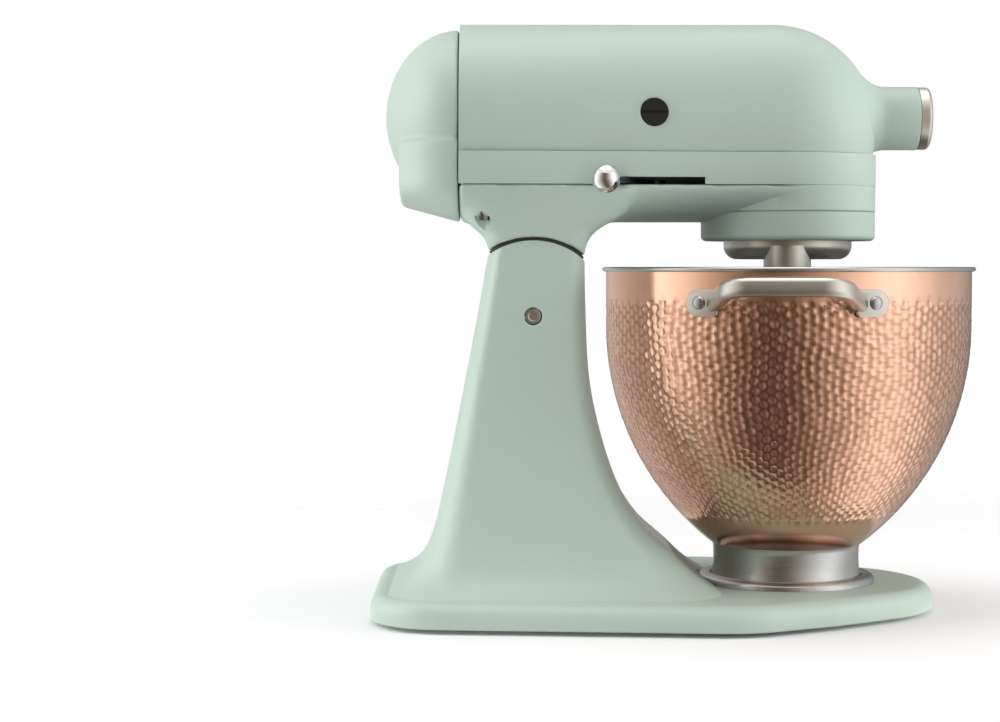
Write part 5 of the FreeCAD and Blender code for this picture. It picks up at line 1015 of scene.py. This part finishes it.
class MIXER_OT_stage(Operator):
    """Pale floor, white surroundings, soft lamps and the camera"""
    bl_idname = "mixer.stage"
    bl_label = "Stage"

    def execute(self, context):
        scene = context.scene
        scene.view_settings.view_transform = "Standard"
        self.floor()
        self.surroundings(scene)
        self.surround()
        for lamp in LAMPS:
            self.softbox(*lamp)
        self.camera(scene)
        return {"FINISHED"}

    def floor(self):
        """A pale floor that fades into the white surroundings."""
        floor = primitive("circle", vertices=96, radius=FLOOR_R, fill_type="NGON", location=(FLOOR_X, 0, 0))
        floor.name = floor.data.name = "floor"
        mat, tree = new_material("Pale floor")
        shader = tree.nodes["Principled BSDF"]
        shader.inputs["Base Color"].default_value = (0.93, 0.93, 0.93, 1)
        shader.inputs["Roughness"].default_value = 0.8
        shader.inputs["Specular IOR Level"].default_value = 0.0
        place = add(tree, "TexCoord")
        reach = add(tree, "VectorMath", operation="LENGTH")
        fade = add(tree, "MapRange", interpolation_type="SMOOTHSTEP", in_from_min=FLOOR_FADE[0],
                   in_from_max=FLOOR_FADE[1])
        join(tree, place, "Object", reach, 0)
        join(tree, reach, "Value", fade, 0)
        join(tree, fade, 0, shader, "Alpha")
        floor.data.materials.append(mat)

    def surroundings(self, scene):
        """White for the camera and for reflections, softer for the light it gives."""
        world = bpy.data.worlds.new("Studio")
        scene.world = world
        world.use_nodes = True
        tree = world.node_tree
        tree.nodes.clear()
        path = add(tree, "LightPath")
        seen = add(tree, "Math", operation="MAXIMUM")
        shown = add(tree, "Math", operation="MAXIMUM")
        white = add(tree, "Background", in_color=(1, 1, 1, 1), in_strength=1.0)
        soft = add(tree, "Background", in_color=(1, 1, 1, 1), in_strength=WORLD_LIGHT)
        mix = add(tree, "MixShader")
        out = add(tree, "OutputWorld")
        join(tree, path, "Is Camera Ray", seen, 0)
        join(tree, path, "Is Glossy Ray", seen, 1)
        join(tree, seen, 0, shown, 0)
        join(tree, path, "Is Transmission Ray", shown, 1)
        join(tree, shown, 0, mix, 0)
        join(tree, soft, 0, mix, 1)
        join(tree, white, 0, mix, 2)
        join(tree, mix, 0, out, "Surface")

    def surround(self):
        """Cards that only reflections show: all round and below the mixer, dark in front of it and
        bright at both sides, and one close before the column, which the copper mirrors in its place."""
        ring = primitive("cylinder", vertices=96, radius=CARD_R, depth=CARD_TALL, end_fill_type="NOTHING",
                         location=(0, 0, 1))
        apron = primitive("circle", vertices=96, radius=CARD_R, fill_type="NGON", location=(0, 0, 0.002))
        flank = trace([mm(front + FLANK_GAP, -FLANK_HALF, z) for z, _, front, _ in COLUMN_ROWS[3:]])
        bpy.ops.mesh.select_mode(type="EDGE")
        select_all()
        extrude(mm(0, 2 * FLANK_HALF, 0))
        close()
        for card, name, level in ((ring, "reflection_ring", 1.6), (apron, "reflection_apron", 1.4),
                                  (flank, "reflection_flank", 0.7)):
            card.name = card.data.name = name
            card.data.materials.append(self.reflector(name, level))
            card.visible_camera = card.visible_diffuse = card.visible_shadow = False

    def reflector(self, name, level):
        """Brightness round the mixer, by the angle from the back."""
        mat, tree = new_material(name)
        tree.nodes.clear()
        place = add(tree, "TexCoord")
        turn = add(tree, "Mapping", in_rotation=(0, 0, CARD_TURN))
        split = add(tree, "SeparateXYZ")
        angle = add(tree, "Math", operation="ARCTAN2")
        size = add(tree, "Math", operation="ABSOLUTE")
        share = add(tree, "Math", operation="DIVIDE")
        share.inputs[1].default_value = math.pi
        ramp = add(tree, "ValToRGB")
        glow = add(tree, "Emission", in_strength=level)
        out = add(tree, "OutputMaterial")
        elements = ramp.color_ramp.elements
        while len(elements) < len(CARD_STOPS):
            elements.new(0.5)
        for element, (position, grey, warm) in zip(elements, CARD_STOPS):
            element.position, element.color = position, (grey, grey * warm, grey * warm ** 2, 1)
        join(tree, place, "Object", turn, 0)
        join(tree, split, "Y", angle, 1)
        chain(tree, turn, split, angle, size, share, ramp, glow, out)
        return mat

    def softbox(self, name, place, aim, size, power):
        """A soft lamp that looks at a point."""
        lamp = bpy.data.lights.new(name, "AREA")
        lamp.shape, lamp.energy = "RECTANGLE", power
        lamp.size, lamp.size_y = size
        obj = bpy.data.objects.new(name, lamp)
        bpy.context.scene.collection.objects.link(obj)
        obj.location = place
        obj.rotation_euler = (Vector(aim) - Vector(place)).to_track_quat("-Z", "Y").to_euler()
        obj.visible_glossy = "top" in name

    def camera(self, scene):
        """The camera looks straight at the mixer's side, a little downwards."""
        data = bpy.data.cameras.new("camera")
        data.sensor_width, data.lens = 36.0, CAMERA_LENS
        obj = bpy.data.objects.new("camera", data)
        scene.collection.objects.link(obj)
        obj.location = CAMERA_PLACE
        obj.rotation_euler = (math.radians(90 - CAMERA_DIP), 0, 0)
        scene.camera = obj


STEPS = (MIXER_OT_finishes, MIXER_OT_upper_shell, MIXER_OT_trim_ring, MIXER_OT_lower_shell,
         MIXER_OT_rear_cover, MIXER_OT_column, MIXER_OT_base, MIXER_OT_bowl_wall, MIXER_OT_bowl_lining,
         MIXER_OT_bowl_handle, MIXER_OT_stage)


class MIXER_PT_panel(Panel):
    """Shows the settings and the steps of the mixer"""
    bl_idname = "MIXER_PT_panel"
    bl_label = "Stand mixer"
    bl_space_type = "VIEW_3D"
    bl_region_type = "UI"
    bl_category = "Mixer"

    def draw(self, context):
        for group in (context.scene.mixer_colours, context.scene.mixer_sizes):
            for name in group.__annotations__:
                self.layout.prop(group, name)
        for step in STEPS:
            self.layout.operator(step.bl_idname)


CLASSES = (MixerColours, MixerSizes) + STEPS + (MIXER_PT_panel,)


def register():
    """Adds the classes and the scene's settings."""
    for item in CLASSES:
        bpy.utils.register_class(item)
    bpy.types.Scene.mixer_colours = PointerProperty(type=MixerColours)
    bpy.types.Scene.mixer_sizes = PointerProperty(type=MixerSizes)


def unregister():
    """Takes them away again."""
    del bpy.types.Scene.mixer_sizes
    del bpy.types.Scene.mixer_colours
    for item in reversed(CLASSES):
        bpy.utils.unregister_class(item)


def main():
    """Models and finishes the mixer."""
    register()
    for step in STEPS:
        group, name = step.bl_idname.split(".")
        getattr(getattr(bpy.ops, group), name)()
    clear_selection()


if __name__ == "__main__":
    main()
